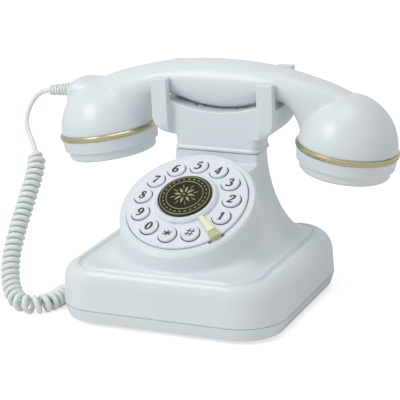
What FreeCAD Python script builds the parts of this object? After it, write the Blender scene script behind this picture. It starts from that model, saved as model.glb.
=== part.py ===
import FreeCAD, Part
import math
import os

# Retro desk telephone with push buttons set in a ring, a saddle cradle on a pedestal,
# a hollow handset and a curly cord.  Millimetres, +X to the right, -Y to the front, +Z up.
# The origin is on the table under the centre of the base.

V = FreeCAD.Vector
os.makedirs("parts", exist_ok=True)

# Walls and running gaps
WALL = 2.5
SLIP = 0.3
SHANK_GAP = 0.05

# Plinth
FOOT_HEIGHT = 3.0
FOOT_R = 7.0
FOOT_RECESS = 1.0
FOOT_X = 50.0
FOOT_FRONT = -50.5
FOOT_BACK = 41.5
PAN_HEIGHT = 7.4
PAN_FLOOR = 2.2
PLINTH_X = 70.5
PLINTH_FRONT = -70.5
PLINTH_BACK = 61.5
PLINTH_R = 27.0
PLINTH_DRAFT = 0.8
PAN_INSET_X = 2.6
PAN_INSET_Y = 1.9
PAN_INSET_R = 3.2
LIP_THICK = 1.4
LIP_RISE = 1.8
SHOULDER_START = 13.6
SHOULDER_HEIGHT = 11.0
SHOULDER_X = 10.6
SHOULDER_Y = 4.6
LEDGE_X = 12.0
LEDGE_Y = 5.2
GROOVE_DEPTH = 0.8
GROOVE_WIDTH = 1.3

# Pedestal that rises from the plinth to the neck
NECK_HALF_X = 27.3
NECK_FRONT = 23.5
NECK_BACK = 45.5
NECK_R = 4.5
NECK_RISE = 51.8

SECTION_POINTS = 48
SECTION_CENTRE_Y = 3.5
CORNER_CROWDING = 0.55
FOOT_POWER = 6.5
NECK_POWER = 9.0
NECK_FORWARD = 1.5
BLEND = 9.0
VALLEY_R = 7.0

# Dial
DIAL_Y = -21.7
DIAL_RISE = 32.0
DIAL_SLOPE = 29.4
BEZEL_R = 41.8
BEZEL_ROUND = 2.2
BEZEL_STAND = 1.4
PLATE_R = 37.1
PLATE_GAP = 0.3
PLATE_PROUD = 1.5
PLATE_CONE = 1.1
PLATE_FLAT_R = 35.4
PLATE_UNDER = -0.4
PLATE_SKIRT = 1.8
RECESS_DEPTH = 3.2
DIAL_FLOOR = 2.5
FLOOR_HOLE_R = 31.0

# Keys
KEY_COUNT = 12
KEY_CIRCLE_R = 28.1
KEY_R = 5.75
KEY_GAP = 0.3
KEY_PROUD = 1.6
KEY_ROUND = 0.9
KEY_FLANGE_R = 6.6
KEY_FLANGE = 0.9
KEY_TRAVEL = 1.2
KEY_STEM_R = 2.4
KEY_FIRST = -21.7
KEY_PITCH = 28.79
KEY_NAMES = ("1", "2", "3", "4", "5", "6", "7", "8", "9", "0", "star", "hash")

# Hub
HUB_R = 19.5
HUB_TOP_R = 18.3
HUB_BORE_R = 17.1
HUB_HEIGHT = 2.9
REDIAL_R = 16.8
REDIAL_DISC = 1.2
REDIAL_STEM_R = 8.0
MEDAL_R = 16.4
MEDAL_HEIGHT = 1.0
MEDAL_DOME = 0.9

# Finger stop
STOP_INNER = 20.2
STOP_OUTER = 38.4
STOP_INNER_WIDTH = 3.8
STOP_OUTER_WIDTH = 6.4
STOP_THICK = 1.1

# Key contacts
SHEET_THICK = 1.0
BOARD_THICK = 1.6
KEY_BOARD_R = 35.0
SMALL_SCREW_R = 0.9
SMALL_HEAD_R = 1.8
SMALL_HEAD = 1.2

# Cradle
BEAD = 0.7
BEAD_HEIGHT = 1.7
BOWL_RISE = 8.4
BOWL_R = 14.0
CRADLE_HALF_X = 39.8
PRONG_WIDTH = 10.4
PRONG_THICK = 5.5
PRONG_BACK_THICK = 4.6
SADDLE_RISE = 24.4
PRONG_FRONT_RISE = 20.0
PRONG_BACK_RISE = 24.8
SADDLE_R = 81.0
WING_RISE = 3.8
SKIRT_DEPTH = 4.0
SKIRT_WALL = 1.6
BORE_DEPTH = 14.5

# Hook
PLUNGER_X = 14.0
PLUNGER_R = 3.0
BRIDGE_DROP = 16.7
BRIDGE_THICK = 3.0
BRIDGE_HALF_X = 17.0
BRIDGE_HALF_Y = 2.8
HOOK_SWITCH_X = 10.0
HOOK_SWITCH_Y = 3.2
HOOK_SWITCH_HEIGHT = 9.0
BRACKET_THICK = 2.0
POST_X = 20.6
POST_R = 2.9

# Handset
HANDSET_Y = 38.5
GRIP_DEPTH = 14.3
GRIP_WALL = 2.6
OVAL_POINTS = 12
CAP_X = 80.2
CAP_DROP = 18.1
CAP_TILT = 8.8
DOME_R = 31.2
DOME_FOOT = 2.0
RING_R = 31.9
RING_HEIGHT = 3.3
STEP_R = 30.9
STEP_HEIGHT = 7.4
STEP_TAPER = 0.8
LIP_R = 28.4
LIP_HEIGHT = 6.2
LIP_TAPER = 0.6
CAP_WALL = 2.4
CAP_SPIGOT = 5.0
CAP_SPIGOT_WALL = 1.8
SOUND_HOLE_R = 1.5
SOUND_CIRCLE_R = 8.0
RECEIVER_R = 19.0
RECEIVER_HEIGHT = 7.0
MIC_R = 6.0
MIC_HEIGHT = 5.0
WEIGHT_HALF_X = 16.0
WEIGHT_HALF_Y = 6.0
WEIGHT_HEIGHT = 8.0
WEIGHT_RISE = 6.3
HEEL_HALF_Y = 13.6
HEEL_RISE = 13.0
HEEL_DROP = 21.2
HEEL_TOP_X = -103.6
HEEL_BOTTOM_X = -107.2
HEEL_INNER_X = -72.0
HEEL_R = 5.0
HEEL_ROUND = 2.4

# Cord
CORD_R = 1.65
COIL_R = 6.0
RELIEF_LENGTH = 15.5
RELIEF_RISE = 4.4
RELIEF_DROOP = 6.0
RELIEF_RIBS = 7
RELIEF_RIB_R = 4.2
RELIEF_TIP_R = 3.4
RELIEF_CORE_R = 2.7
RELIEF_FIRST = 1.2
RELIEF_SEAT = 1.6
PLUG_LENGTH = 19.0
PLUG_IN = 9.5
PLUG_WIDTH = 7.6
PLUG_HEIGHT = 6.6

# Jacks and switches in the plinth wall
JACK_Y = 13.5
JACK_RISE = 7.6
JACK_WIDTH = 12.0
JACK_HEIGHT = 11.0
JACK_DEPTH = 13.0
JACK_WALL_GAP = 0.2
JACK_INSET = 0.6
LINE_JACK_X = -28.0
SLIDER_X = 28.0
TONE_X = 10.0
SLIDER_TRAVEL = 5.0
SLIDER_HALF = 4.0

# Places that follow from the sizes above
PAN_BOTTOM = FOOT_HEIGHT
PARTING = PAN_BOTTOM + PAN_HEIGHT
SHOULDER_Z = PARTING + SHOULDER_START
PLINTH_TOP = SHOULDER_Z + SHOULDER_HEIGHT
PEDESTAL_HALF_X = PLINTH_X - LEDGE_X - GROOVE_WIDTH
PEDESTAL_FRONT = PLINTH_FRONT + LEDGE_Y + GROOVE_WIDTH
PEDESTAL_BACK = PLINTH_BACK - LEDGE_Y - GROOVE_WIDTH
PEDESTAL_CORNER = PLINTH_R - (LEDGE_X + LEDGE_Y) / 2
NECK_TOP = PLINTH_TOP + NECK_RISE
DIAL_Z = PLINTH_TOP + DIAL_RISE
KEY_SURFACE = PLATE_PROUD + PLATE_CONE * (PLATE_FLAT_R - KEY_CIRCLE_R) / (PLATE_FLAT_R - HUB_R)
HUB_SURFACE = PLATE_PROUD + PLATE_CONE
BOARD_TOP = -RECESS_DEPTH - DIAL_FLOOR
PRONG_FRONT = HANDSET_Y - GRIP_DEPTH - 2 * SLIP - PRONG_THICK
PRONG_BACK = HANDSET_Y + GRIP_DEPTH + 2 * SLIP + PRONG_BACK_THICK
BRACKET_TOP = NECK_TOP - SKIRT_DEPTH
NECK_MIDDLE = (NECK_FRONT + NECK_BACK) / 2
BOWL_BOTTOM = NECK_TOP + BOWL_RISE
SADDLE_LOW = NECK_TOP + SADDLE_RISE
WING_TOP = SADDLE_LOW + WING_RISE
PRONG_FRONT_TOP = SADDLE_LOW + PRONG_FRONT_RISE
PRONG_BACK_TOP = SADDLE_LOW + PRONG_BACK_RISE
BRIDGE_LOW = SADDLE_LOW - BRIDGE_DROP
CAP_Z = SADDLE_LOW - CAP_DROP
HEEL_TOP = SADDLE_LOW + HEEL_RISE
HEEL_BOTTOM = SADDLE_LOW - HEEL_DROP
RELIEF_Z = SADDLE_LOW + RELIEF_RISE
JACK_Z = PARTING + JACK_RISE


# Helpers

def ring_wire(half_x, front, back, radius, z, centre_x=0.0):
    """Rounded rectangle in a level plane."""
    left, right = centre_x - half_x, centre_x + half_x
    k = radius * (1 - math.sqrt(0.5))
    p = [V(left + radius, front, z), V(right - radius, front, z),
         V(right, front + radius, z), V(right, back - radius, z),
         V(right - radius, back, z), V(left + radius, back, z),
         V(left, back - radius, z), V(left, front + radius, z)]
    mids = [V(right - k, front + k, z), V(right - k, back - k, z),
            V(left + k, back - k, z), V(left + k, front + k, z)]
    edges = []
    for i in range(4):
        a, b, c = p[2 * i], p[2 * i + 1], p[(2 * i + 2) % 8]
        edges.append(Part.LineSegment(a, b).toShape())
        edges.append(Part.Arc(b, mids[i], c).toShape())
    return Part.Wire(edges)


def loft(wires, ruled=False):
    return Part.makeLoft(wires, True, ruled)


def box(x0, x1, y0, y1, z0, z1):
    return Part.makeBox(x1 - x0, y1 - y0, z1 - z0, V(x0, y0, z0))


def rod(radius, z0, z1, x=0.0, y=0.0):
    return Part.makeCylinder(radius, z1 - z0, V(x, y, z0))


def turned(points):
    """Solid of revolution about Z from a closed outline of (radius, height) points."""
    pts = [V(r, 0, z) for r, z in points]
    face = Part.Face(Part.makePolygon(pts + [pts[0]]))
    return face.revolve(V(0, 0, 0), V(0, 0, 1), 360)


def eased(solid, radius, chosen):
    """Rounds the edges that the test picks."""
    edges = [e for e in solid.Edges if chosen(e)]
    return solid.makeFillet(radius, edges) if edges else solid


def fuse(first, *others):
    return first.fuse(list(others)).removeSplitter()


def to_dial(shape):
    """Moves a piece from the dial's own frame, with Z out of the dial, to its place."""
    out = shape.copy()
    out.rotate(V(0, 0, 0), V(1, 0, 0), DIAL_SLOPE)
    out.translate(V(0, DIAL_Y, DIAL_Z))
    return out


def to_cap(shape, side):
    """Moves a piece from a cap's own frame to the right (1) or left (-1) end."""
    out = shape.copy()
    out.rotate(V(0, 0, 0), V(0, 1, 0), side * CAP_TILT)
    out.translate(V(side * CAP_X, HANDSET_Y, CAP_Z))
    return out


def route(points, lean=0.45):
    """Straight runs joined by tangent arcs, and the arcs' radii."""
    pts = [V(*p) for p in points]
    edges, radii, start = [], [], pts[0]
    for a, b, c in zip(pts, pts[1:], pts[2:]):
        before, after = b.sub(a), c.sub(b)
        trim = lean * min(before.Length, after.Length)
        turn = before.getAngle(after)
        radii.append(trim / math.tan(turn / 2))
        into = b.sub(V(before).normalize().multiply(trim))
        away = b.add(V(after).normalize().multiply(trim))
        bend = V(after).normalize().sub(V(before).normalize())
        rise = radii[-1] * (1 / math.cos(turn / 2) - 1)
        middle = b.add(bend.normalize().multiply(rise))
        edges.append(Part.LineSegment(start, into).toShape())
        edges.append(Part.Arc(into, middle, away).toShape())
        start = away
    edges.append(Part.LineSegment(start, pts[-1]).toShape())
    return Part.Wire(edges), radii


def tube(points, radius, name):
    path, radii = route(points)
    first = V(*points[1]).sub(V(*points[0]))
    section = Part.Wire(Part.makeCircle(radius, V(*points[0]), first))
    solid = path.makePipeShell([section], True, False)
    exact = math.pi * radius ** 2 * path.Length
    print(name, "length %.1f" % path.Length, "volume / section x length %.4f" % (solid.Volume / exact))
    print("   radii", " ".join("%.0f" % r for r in radii))
    return solid


# Outer forms of the base; each takes an inset, so that the same form is used for the hollow

def outline(inset, z):
    """Outline of the plinth at its parting line, drawn in by inset."""
    return ring_wire(PLINTH_X - inset, PLINTH_FRONT + inset, PLINTH_BACK - inset, PLINTH_R - inset, z)


def plinth(inset):
    def section(share, z):
        dx, dy = SHOULDER_X * share, SHOULDER_Y * share
        return ring_wire(PLINTH_X - PLINTH_DRAFT - dx - inset, PLINTH_FRONT + PLINTH_DRAFT + dy + inset,
                         PLINTH_BACK - PLINTH_DRAFT - dy - inset, PLINTH_R - (dx + dy) / 2 - inset, z)
    wall = loft([outline(inset, PARTING), section(0, SHOULDER_Z)], True)
    steps = 5
    wires = []
    for i in range(steps + 1):
        angle = math.pi / 2 * i / steps
        wires.append(section(1 - math.cos(angle), SHOULDER_Z + (SHOULDER_HEIGHT - inset) * math.sin(angle)))
    return fuse(wall, loft(wires))


def smooth_ring(points):
    """Closed smooth curve through points."""
    count = len(points)
    curve = Part.BSplineCurve()
    curve.interpolate(Points=points, Parameters=[i / count for i in range(count + 1)], PeriodicFlag=True)
    return curve


def pedestal_ring(points):
    """Closed wire through points, in four spans that meet on the axes."""
    curve = smooth_ring(points)
    return Part.Wire([curve.toShape(k / 4, (k + 1) / 4) for k in range(4)])


def pedestal_section(share, inset):
    """Outline of the pedestal at a share of its rise: a squared oval that shrinks from foot to
    neck, blended into the upright oval drum under the dial."""
    z = PLINTH_TOP - GROOVE_DEPTH + (NECK_RISE + GROOVE_DEPTH) * share
    spread = 1 - math.sqrt(1 - (1 - share) ** 2)
    half = NECK_HALF_X + (PEDESTAL_HALF_X - NECK_HALF_X) * spread - inset
    front = NECK_FORWARD + (PEDESTAL_FRONT - NECK_FORWARD) * spread + inset
    back = NECK_BACK + (PEDESTAL_BACK - NECK_BACK) * spread - inset
    power = NECK_POWER + (FOOT_POWER - NECK_POWER) * min(1.0, 1.6 * spread)
    middle, deep = (front + back) / 2, (back - front) / 2
    drum_x = BEZEL_R - inset
    drum_y = BEZEL_R * math.cos(math.radians(DIAL_SLOPE)) - inset

    def level(x, y):
        square = ((abs(x) / half) ** power + (abs(y - middle) / deep) ** power) ** (1 / power)
        oval = math.hypot(x / drum_x, (y - DIAL_Y) / drum_y)
        nearest = min(square, oval)
        spill = math.exp(-BLEND * (square - nearest)) + math.exp(-BLEND * (oval - nearest))
        return nearest - math.log(spill) / BLEND

    points = []
    for i in range(SECTION_POINTS):
        even = 2 * math.pi * i / SECTION_POINTS
        angle = even + CORNER_CROWDING / 4 * math.sin(4 * even)
        dx, dy = math.cos(angle), math.sin(angle)
        near, far = 0.0, 2.0 * PLINTH_X
        while far - near > 1e-4:
            mid = (near + far) / 2
            if level(mid * dx, SECTION_CENTRE_Y + mid * dy) < 1:
                near = mid
            else:
                far = mid
        points.append(V(near * dx, SECTION_CENTRE_Y + near * dy, z))
    return points


def pedestal(inset, dial_top):
    """Square foot that sweeps in along a quarter ellipse to the neck, with the drum of the
    dial in front, cut level with the dial's face."""
    outlines = [pedestal_section(share, inset) for share in (0.0, 0.025, 0.07, 0.15, 0.28, 0.45, 0.7, 1.0)]
    if inset:
        outlines[0] = [V(p.x, p.y, PLINTH_TOP - 2 * inset) for p in outlines[0]]
    form = loft([pedestal_ring(points) for points in outlines])
    form = form.cut(to_dial(box(-90, 90, -90, 90, dial_top, 90)))
    if not inset:
        around = box(-90, 90, -90, 90, -BEZEL_STAND, 20).cut(rod(BEZEL_R, -BEZEL_STAND - 1, 21))
        form = form.cut(to_dial(around).common(box(-90, 90, -90, NECK_FRONT, PLINTH_TOP, 120)))
    valley = Part.makeCylinder(VALLEY_R + inset, 120, V(-60, NECK_FRONT - VALLEY_R, NECK_TOP), V(1, 0, 0))
    return form.cut(valley.cut(to_dial(rod(BEZEL_R - inset, -60, 20))))


def neck_block(inset, z0, z1):
    """Upright block with the neck's outline, drawn in by inset."""
    outline = ring_wire(NECK_HALF_X - inset, NECK_FRONT + inset, NECK_BACK - inset,
                        max(NECK_R - inset / 2, 1.0), z0)
    return Part.Face(outline).extrude(V(0, 0, z1 - z0))


def base_form(inset, dial_top):
    block = plinth(inset)
    if not inset:
        groove = ring_wire(PEDESTAL_HALF_X + GROOVE_WIDTH, PEDESTAL_FRONT - GROOVE_WIDTH,
                           PEDESTAL_BACK + GROOVE_WIDTH, PEDESTAL_CORNER, PLINTH_TOP - GROOVE_DEPTH)
        block = block.cut(Part.Face(groove).extrude(V(0, 0, 5)))
    return block.fuse(pedestal(inset, dial_top))


# Pieces of the base

BOSS_R = 4.0
BOSS_X = PLINTH_X - 10.5
BOSS_FRONT = -26.5
BOSS_BACK = 30.0
BOSS_PLACES = [(sx * BOSS_X, y) for sx in (-1, 1) for y in (BOSS_FRONT, BOSS_BACK)]
FOOT_PLACES = [(sx * FOOT_X, y) for sx in (-1, 1) for y in (FOOT_FRONT, FOOT_BACK)]
BASE_SCREW_R = 1.5
BASE_HEAD_R = 3.2
BASE_HEAD = 1.6
MAIN_HALF_X = 41.0
MAIN_FRONT = 3.0
MAIN_BACK = 46.0
POST_IN = 5.0
BOARD_POSTS = [(sx * (MAIN_HALF_X - POST_IN), y) for sx in (-1, 1) for y in (MAIN_FRONT + POST_IN, MAIN_BACK - POST_IN)]
BOARD_POST_R = 3.0
BOARD_POST_HEIGHT = 5.0
RINGER_Y = -14.5
RINGER_R = 15.0
RINGER_HEIGHT = 7.0
BALLAST_FRONT = -58.5
BALLAST_DEPTH = 24.0
BALLAST_HALF_X = 34.0
BALLAST_HEIGHT = 10.0
FLOOR_TOP = PAN_BOTTOM + PAN_FLOOR


def wall_ports():
    """Windows for the jacks and switches in the left side and the back of the plinth."""
    half, tall = JACK_WIDTH / 2 + JACK_WALL_GAP, JACK_HEIGHT / 2 + JACK_WALL_GAP
    left = box(-PLINTH_X - 5, -PLINTH_X + 8, JACK_Y - half, JACK_Y + half, JACK_Z - tall, JACK_Z + tall)
    back = box(LINE_JACK_X - half, LINE_JACK_X + half, PLINTH_BACK - 8, PLINTH_BACK + 5, JACK_Z - tall, JACK_Z + tall)
    slots = []
    for x in (SLIDER_X, TONE_X):
        reach = SLIDER_HALF / 2 + SLIDER_TRAVEL / 2 + SLIP
        slots.append(box(x - reach, x + reach, PLINTH_BACK - 8, PLINTH_BACK + 5,
                         JACK_Z - 1.6 - SLIP, JACK_Z + 1.6 + SLIP))
    return [left, back] + slots


def body_shell():
    outer = base_form(0.0, 0.0)
    rim = to_dial(turned([(BEZEL_R - BEZEL_ROUND, 0.5), (BEZEL_R - BEZEL_ROUND, 0.0), (BEZEL_R - 0.65, -0.75),
                          (BEZEL_R, -BEZEL_ROUND), (BEZEL_R + 3, -BEZEL_ROUND), (BEZEL_R + 3, 0.5)]))
    outer = outer.cut(rim)
    inner = base_form(WALL, -RECESS_DEPTH - DIAL_FLOOR)
    shell = outer.cut(inner).cut(neck_block(WALL, NECK_TOP - BORE_DEPTH, NECK_TOP + 5))
    shell = shell.cut(to_dial(rod(PLATE_R + PLATE_GAP, -RECESS_DEPTH, 8)))
    shell = shell.cut(to_dial(rod(FLOOR_HOLE_R, BOARD_TOP - 4, 0)))
    for x, y in BOSS_PLACES:
        boss = rod(BOSS_R, FLOOR_TOP, PLINTH_TOP - 1.2, x, y).common(plinth(WALL / 2))
        boss = fuse(boss, rod(BOSS_R, FLOOR_TOP, PARTING + 2, x, y))
        shell = fuse(shell, boss)
        shell = shell.cut(rod(BASE_SCREW_R, FLOOR_TOP - 1, FLOOR_TOP + 10, x, y))
    for angle in KEY_SCREW_ANGLES:
        x, y = polar(KEY_SCREW_CIRCLE, angle)
        shell = shell.cut(to_dial(rod(SMALL_SCREW_R, BOARD_TOP - 1, BOARD_TOP + 1.8, x, y)))
    for port in wall_ports():
        shell = shell.cut(port)
    return shell


def base_plate():
    def low_outline(inset, z):
        return ring_wire(PLINTH_X - PAN_INSET_X - inset, PLINTH_FRONT + PAN_INSET_Y + inset,
                         PLINTH_BACK - PAN_INSET_Y - inset, PLINTH_R - PAN_INSET_R - inset, z)

    def lip_block(inset):
        return loft([outline(inset, FLOOR_TOP), outline(inset, PARTING + LIP_RISE)], True)
    pan = loft([low_outline(0, PAN_BOTTOM), outline(0, PARTING)], True)
    pan = pan.cut(loft([low_outline(WALL, FLOOR_TOP), outline(WALL, PARTING)], True))
    lip_out = WALL + SLIP + PLINTH_DRAFT
    lip = lip_block(lip_out).cut(lip_block(lip_out + LIP_THICK))
    pan = fuse(pan, lip)
    for x, y in FOOT_PLACES:
        pan = pan.cut(rod(FOOT_R + 0.1, PAN_BOTTOM - 1, PAN_BOTTOM + FOOT_RECESS, x, y))
    for x, y in BOSS_PLACES:
        pan = pan.cut(rod(BASE_SCREW_R, PAN_BOTTOM - 1, FLOOR_TOP + 1, x, y))
        pan = pan.cut(rod(BASE_HEAD_R + 0.3, PAN_BOTTOM - 1, PAN_BOTTOM + BASE_HEAD, x, y))
    for x, y in BOARD_POSTS:
        pan = fuse(pan, rod(BOARD_POST_R, FLOOR_TOP, FLOOR_TOP + BOARD_POST_HEIGHT, x, y))
        pan = pan.cut(rod(SMALL_SCREW_R, FLOOR_TOP + 1, FLOOR_TOP + BOARD_POST_HEIGHT + 1, x, y))
    for i in range(5):
        x = -16.0 + 8.0 * i
        pan = pan.cut(box(x - 1.2, x + 1.2, RINGER_Y - 10, RINGER_Y + 10, PAN_BOTTOM - 1, FLOOR_TOP + 1))
    return pan


def rubber_feet():
    foot = turned([(0, 0), (FOOT_R - 1.2, 0), (FOOT_R, 1.0), (FOOT_R, FOOT_HEIGHT + FOOT_RECESS),
                   (0, FOOT_HEIGHT + FOOT_RECESS)])
    feet = []
    for x, y in FOOT_PLACES:
        one = foot.copy()
        one.translate(V(x, y, 0))
        feet.append(one)
    return Part.makeCompound(feet)


def screw(shank_r, head_r, head, length):
    """Screw that points up: the head's flat at the bottom, the tip at the top."""
    body = fuse(rod(head_r, 0, head), rod(shank_r, head, head + length))
    return body.cut(box(-head_r * 0.7, head_r * 0.7, -0.35, 0.35, -1, head * 0.45))


def base_screws():
    one = screw(BASE_SCREW_R - SHANK_GAP, BASE_HEAD_R, BASE_HEAD, 9.0)
    out = []
    for x, y in BOSS_PLACES:
        s = one.copy()
        s.translate(V(x, y, PAN_BOTTOM))
        out.append(s)
    return Part.makeCompound(out)


def board_screws():
    one = screw(SMALL_SCREW_R - SHANK_GAP, SMALL_HEAD_R, SMALL_HEAD, 5.0)
    one.rotate(V(0, 0, 0), V(1, 0, 0), 180)
    out = []
    for x, y in BOARD_POSTS:
        s = one.copy()
        s.translate(V(x, y, FLOOR_TOP + BOARD_POST_HEIGHT + BOARD_THICK + SMALL_HEAD))
        out.append(s)
    return Part.makeCompound(out)


def main_board():
    z = FLOOR_TOP + BOARD_POST_HEIGHT
    board = box(-MAIN_HALF_X, MAIN_HALF_X, MAIN_FRONT, MAIN_BACK, z, z + BOARD_THICK)
    for x, y in BOARD_POSTS:
        board = board.cut(rod(SMALL_SCREW_R, z - 1, z + 3, x, y))
    top = z + BOARD_THICK
    middle = (MAIN_FRONT + MAIN_BACK) / 2
    parts_on = [box(-10, 6, middle - 6, middle + 2, top, top + 3),
                rod(4, top, top + 9, -20, middle + 8),
                rod(3, top, top + 7, 16, middle + 13),
                box(14, 28, middle - 12, middle, top, top + 8)]
    return fuse(board, *parts_on)


def ringer():
    """Round sounder over the slots in the floor of the base."""
    top = FLOOR_TOP + RINGER_HEIGHT
    cup = rod(RINGER_R, FLOOR_TOP, top, 0, RINGER_Y)
    magnet = rod(RINGER_R * 0.4, top, top + 3, 0, RINGER_Y)
    return fuse(cup, magnet)


def ballast():
    """Steel block that keeps the light base from sliding."""
    block = box(-BALLAST_HALF_X, BALLAST_HALF_X, BALLAST_FRONT, BALLAST_FRONT + BALLAST_DEPTH,
                FLOOR_TOP, FLOOR_TOP + BALLAST_HEIGHT)
    return eased(block, 3.0, lambda e: abs(e.tangentAt(e.FirstParameter).z) > 0.9)


# Dial pieces

KEY_SCREW_CIRCLE = 33.0
KEY_SCREW_ANGLES = (48.0, 138.0, 228.0, 318.0)


def polar(radius, angle):
    a = math.radians(angle)
    return radius * math.cos(a), radius * math.sin(a)


def key_places():
    return [polar(KEY_CIRCLE_R, KEY_FIRST + KEY_PITCH * i) for i in range(KEY_COUNT)]


def dial_plate():
    plate = turned([(0, PLATE_UNDER), (PLATE_R - PLATE_SKIRT, PLATE_UNDER), (PLATE_R - PLATE_SKIRT, -RECESS_DEPTH),
                    (PLATE_R, -RECESS_DEPTH), (PLATE_R, PLATE_PROUD - 0.5), (PLATE_R - 0.5, PLATE_PROUD),
                    (PLATE_FLAT_R, PLATE_PROUD), (HUB_R, HUB_SURFACE), (0, HUB_SURFACE)])
    for x, y in key_places():
        plate = plate.cut(rod(KEY_R + KEY_GAP, -5, 6, x, y))
    plate = plate.cut(rod(REDIAL_STEM_R + SLIP, -5, 6))
    return to_dial(plate)


def hub_ring():
    ring = turned([(HUB_BORE_R, HUB_SURFACE), (HUB_R, HUB_SURFACE), (HUB_R, HUB_SURFACE + 1.5),
                   (HUB_TOP_R, HUB_SURFACE + HUB_HEIGHT), (HUB_BORE_R, HUB_SURFACE + HUB_HEIGHT)])
    notch = box(-1.4, 1.4, -HUB_R - 1, -HUB_R + 0.8, HUB_SURFACE - 1, HUB_SURFACE + 0.9)
    notch.rotate(V(0, 0, 0), V(0, 0, 1), -2)
    return to_dial(ring.cut(notch))


def redial_key():
    low = HUB_SURFACE + KEY_TRAVEL + SLIP
    disc = rod(REDIAL_R, low, low + REDIAL_DISC)
    stem = rod(REDIAL_STEM_R, -3.1, low)
    return to_dial(fuse(disc, stem))


def medallion():
    low = HUB_SURFACE + KEY_TRAVEL + SLIP + REDIAL_DISC
    top = low + MEDAL_HEIGHT + MEDAL_DOME
    ball_r = (MEDAL_R ** 2 + MEDAL_DOME ** 2) / (2 * MEDAL_DOME)
    ball = Part.makeSphere(ball_r, V(0, 0, top - ball_r))
    return to_dial(rod(MEDAL_R, low, top + 1).common(ball))


def key(x, y):
    top = KEY_SURFACE + KEY_PROUD
    under = PLATE_UNDER - SLIP
    cap = turned([(0, under - KEY_FLANGE), (KEY_FLANGE_R, under - KEY_FLANGE), (KEY_FLANGE_R, under),
                  (KEY_R, under), (KEY_R, top - KEY_ROUND), (KEY_R - KEY_ROUND * 0.3, top - KEY_ROUND * 0.3),
                  (KEY_R - KEY_ROUND, top), (0, top)])
    stem = rod(KEY_STEM_R, -RECESS_DEPTH - 0.1, under - KEY_FLANGE + 0.1)
    one = fuse(cap, stem)
    one.translate(V(x, y, 0))
    return to_dial(one)


def finger_stop():
    """Tapered strip from the hub to the edge of the plate, turned down over the edge."""
    low = HUB_SURFACE + 0.15
    a, b = STOP_INNER_WIDTH / 2, STOP_OUTER_WIDTH / 2
    outline = [V(STOP_INNER, -a, low), V(STOP_OUTER, -b, low), V(STOP_OUTER, b, low), V(STOP_INNER, a, low)]
    strip = Part.Face(Part.makePolygon(outline + [outline[0]])).extrude(V(0, 0, STOP_THICK))
    strip = eased(strip, 0.8, lambda e: abs(e.tangentAt(e.FirstParameter).z) > 0.9 and
                  e.CenterOfMass.x < STOP_INNER + 1)
    tab = box(PLATE_R + 0.1, STOP_OUTER, -b, b, 0, low + STOP_THICK)
    tab = eased(fuse(strip, tab), 0.5, lambda e: e.CenterOfMass.x > STOP_OUTER - 0.05 and
                e.CenterOfMass.z > low + STOP_THICK - 0.05)
    gap_middle = KEY_FIRST - (360 - KEY_PITCH * (KEY_COUNT - 1)) / 2
    tab.rotate(V(0, 0, 0), V(0, 0, 1), gap_middle)
    return to_dial(tab)


def key_sheet():
    sheet = rod(FLOOR_HOLE_R - SLIP, BOARD_TOP, BOARD_TOP + SHEET_THICK)
    return to_dial(sheet)


def key_board():
    board = rod(KEY_BOARD_R, BOARD_TOP - BOARD_THICK, BOARD_TOP)
    for angle in KEY_SCREW_ANGLES:
        x, y = polar(KEY_SCREW_CIRCLE, angle)
        board = board.cut(rod(SMALL_SCREW_R, BOARD_TOP - 3, BOARD_TOP + 1, x, y))
    return to_dial(board)


def key_board_screws():
    out = []
    for angle in KEY_SCREW_ANGLES:
        x, y = polar(KEY_SCREW_CIRCLE, angle)
        one = screw(SMALL_SCREW_R - SHANK_GAP, SMALL_HEAD_R, SMALL_HEAD, BOARD_THICK + 1.6)
        one.translate(V(x, y, BOARD_TOP - BOARD_THICK - SMALL_HEAD))
        out.append(to_dial(one))
    return Part.makeCompound(out)


# Handset forms

def grip_sections():
    """Lower and upper (x, z) of each oval section, from the middle to the right end."""
    rises = [((0.0, 0.3), (0.0, 30.3)), ((15.0, 1.8), (15.5, 29.8)), ((28.0, 5.5), (30.0, 28.3)),
             ((36.5, 6.8), (43.0, 26.0)), ((43.3, 3.8), (58.0, 22.4)), ((47.8, -3.2), (74.0, 17.6)),
             ((50.3, -10.7), (89.0, 10.3)), ((52.0, -16.7), (100.0, -3.2))]
    return [((xa, SADDLE_LOW + za), (xb, SADDLE_LOW + zb)) for (xa, za), (xb, zb) in rises]


def oval_wire(low, high, depth, inset):
    centre = V((low[0] + high[0]) / 2, HANDSET_Y, (low[1] + high[1]) / 2)
    up = V(high[0] - low[0], 0, high[1] - low[1])
    tall = up.Length / 2 - inset
    up.normalize()
    points = []
    for i in range(OVAL_POINTS):
        angle = 2 * math.pi * i / OVAL_POINTS
        rise = V(up).multiply(tall * math.cos(angle))
        points.append(centre.add(rise).add(V(0, (depth - inset) * math.sin(angle), 0)))
    return Part.Wire(smooth_ring(points).toShape())


def grip(inset):
    right = grip_sections()
    left = [((-a[0], a[1]), (-b[0], b[1])) for a, b in right[:0:-1]]
    ovals = left + right
    spine = Part.BSplineCurve()
    spine.interpolate([V((a[0] + b[0]) / 2, HANDSET_Y, (a[1] + b[1]) / 2) for a, b in ovals])
    wires = [oval_wire(a, b, GRIP_DEPTH, inset) for a, b in ovals]
    return Part.Wire(spine.toShape()).makePipeShell(wires, True, False)


def dome(side, inset):
    ball = Part.makeSphere(DOME_R - inset, V(0, 0, DOME_FOOT))
    upper = ball.common(box(-60, 60, -60, 60, DOME_FOOT, 60))
    foot = rod(DOME_R - inset, 0, DOME_FOOT)
    return to_cap(fuse(upper, foot), side)


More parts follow.
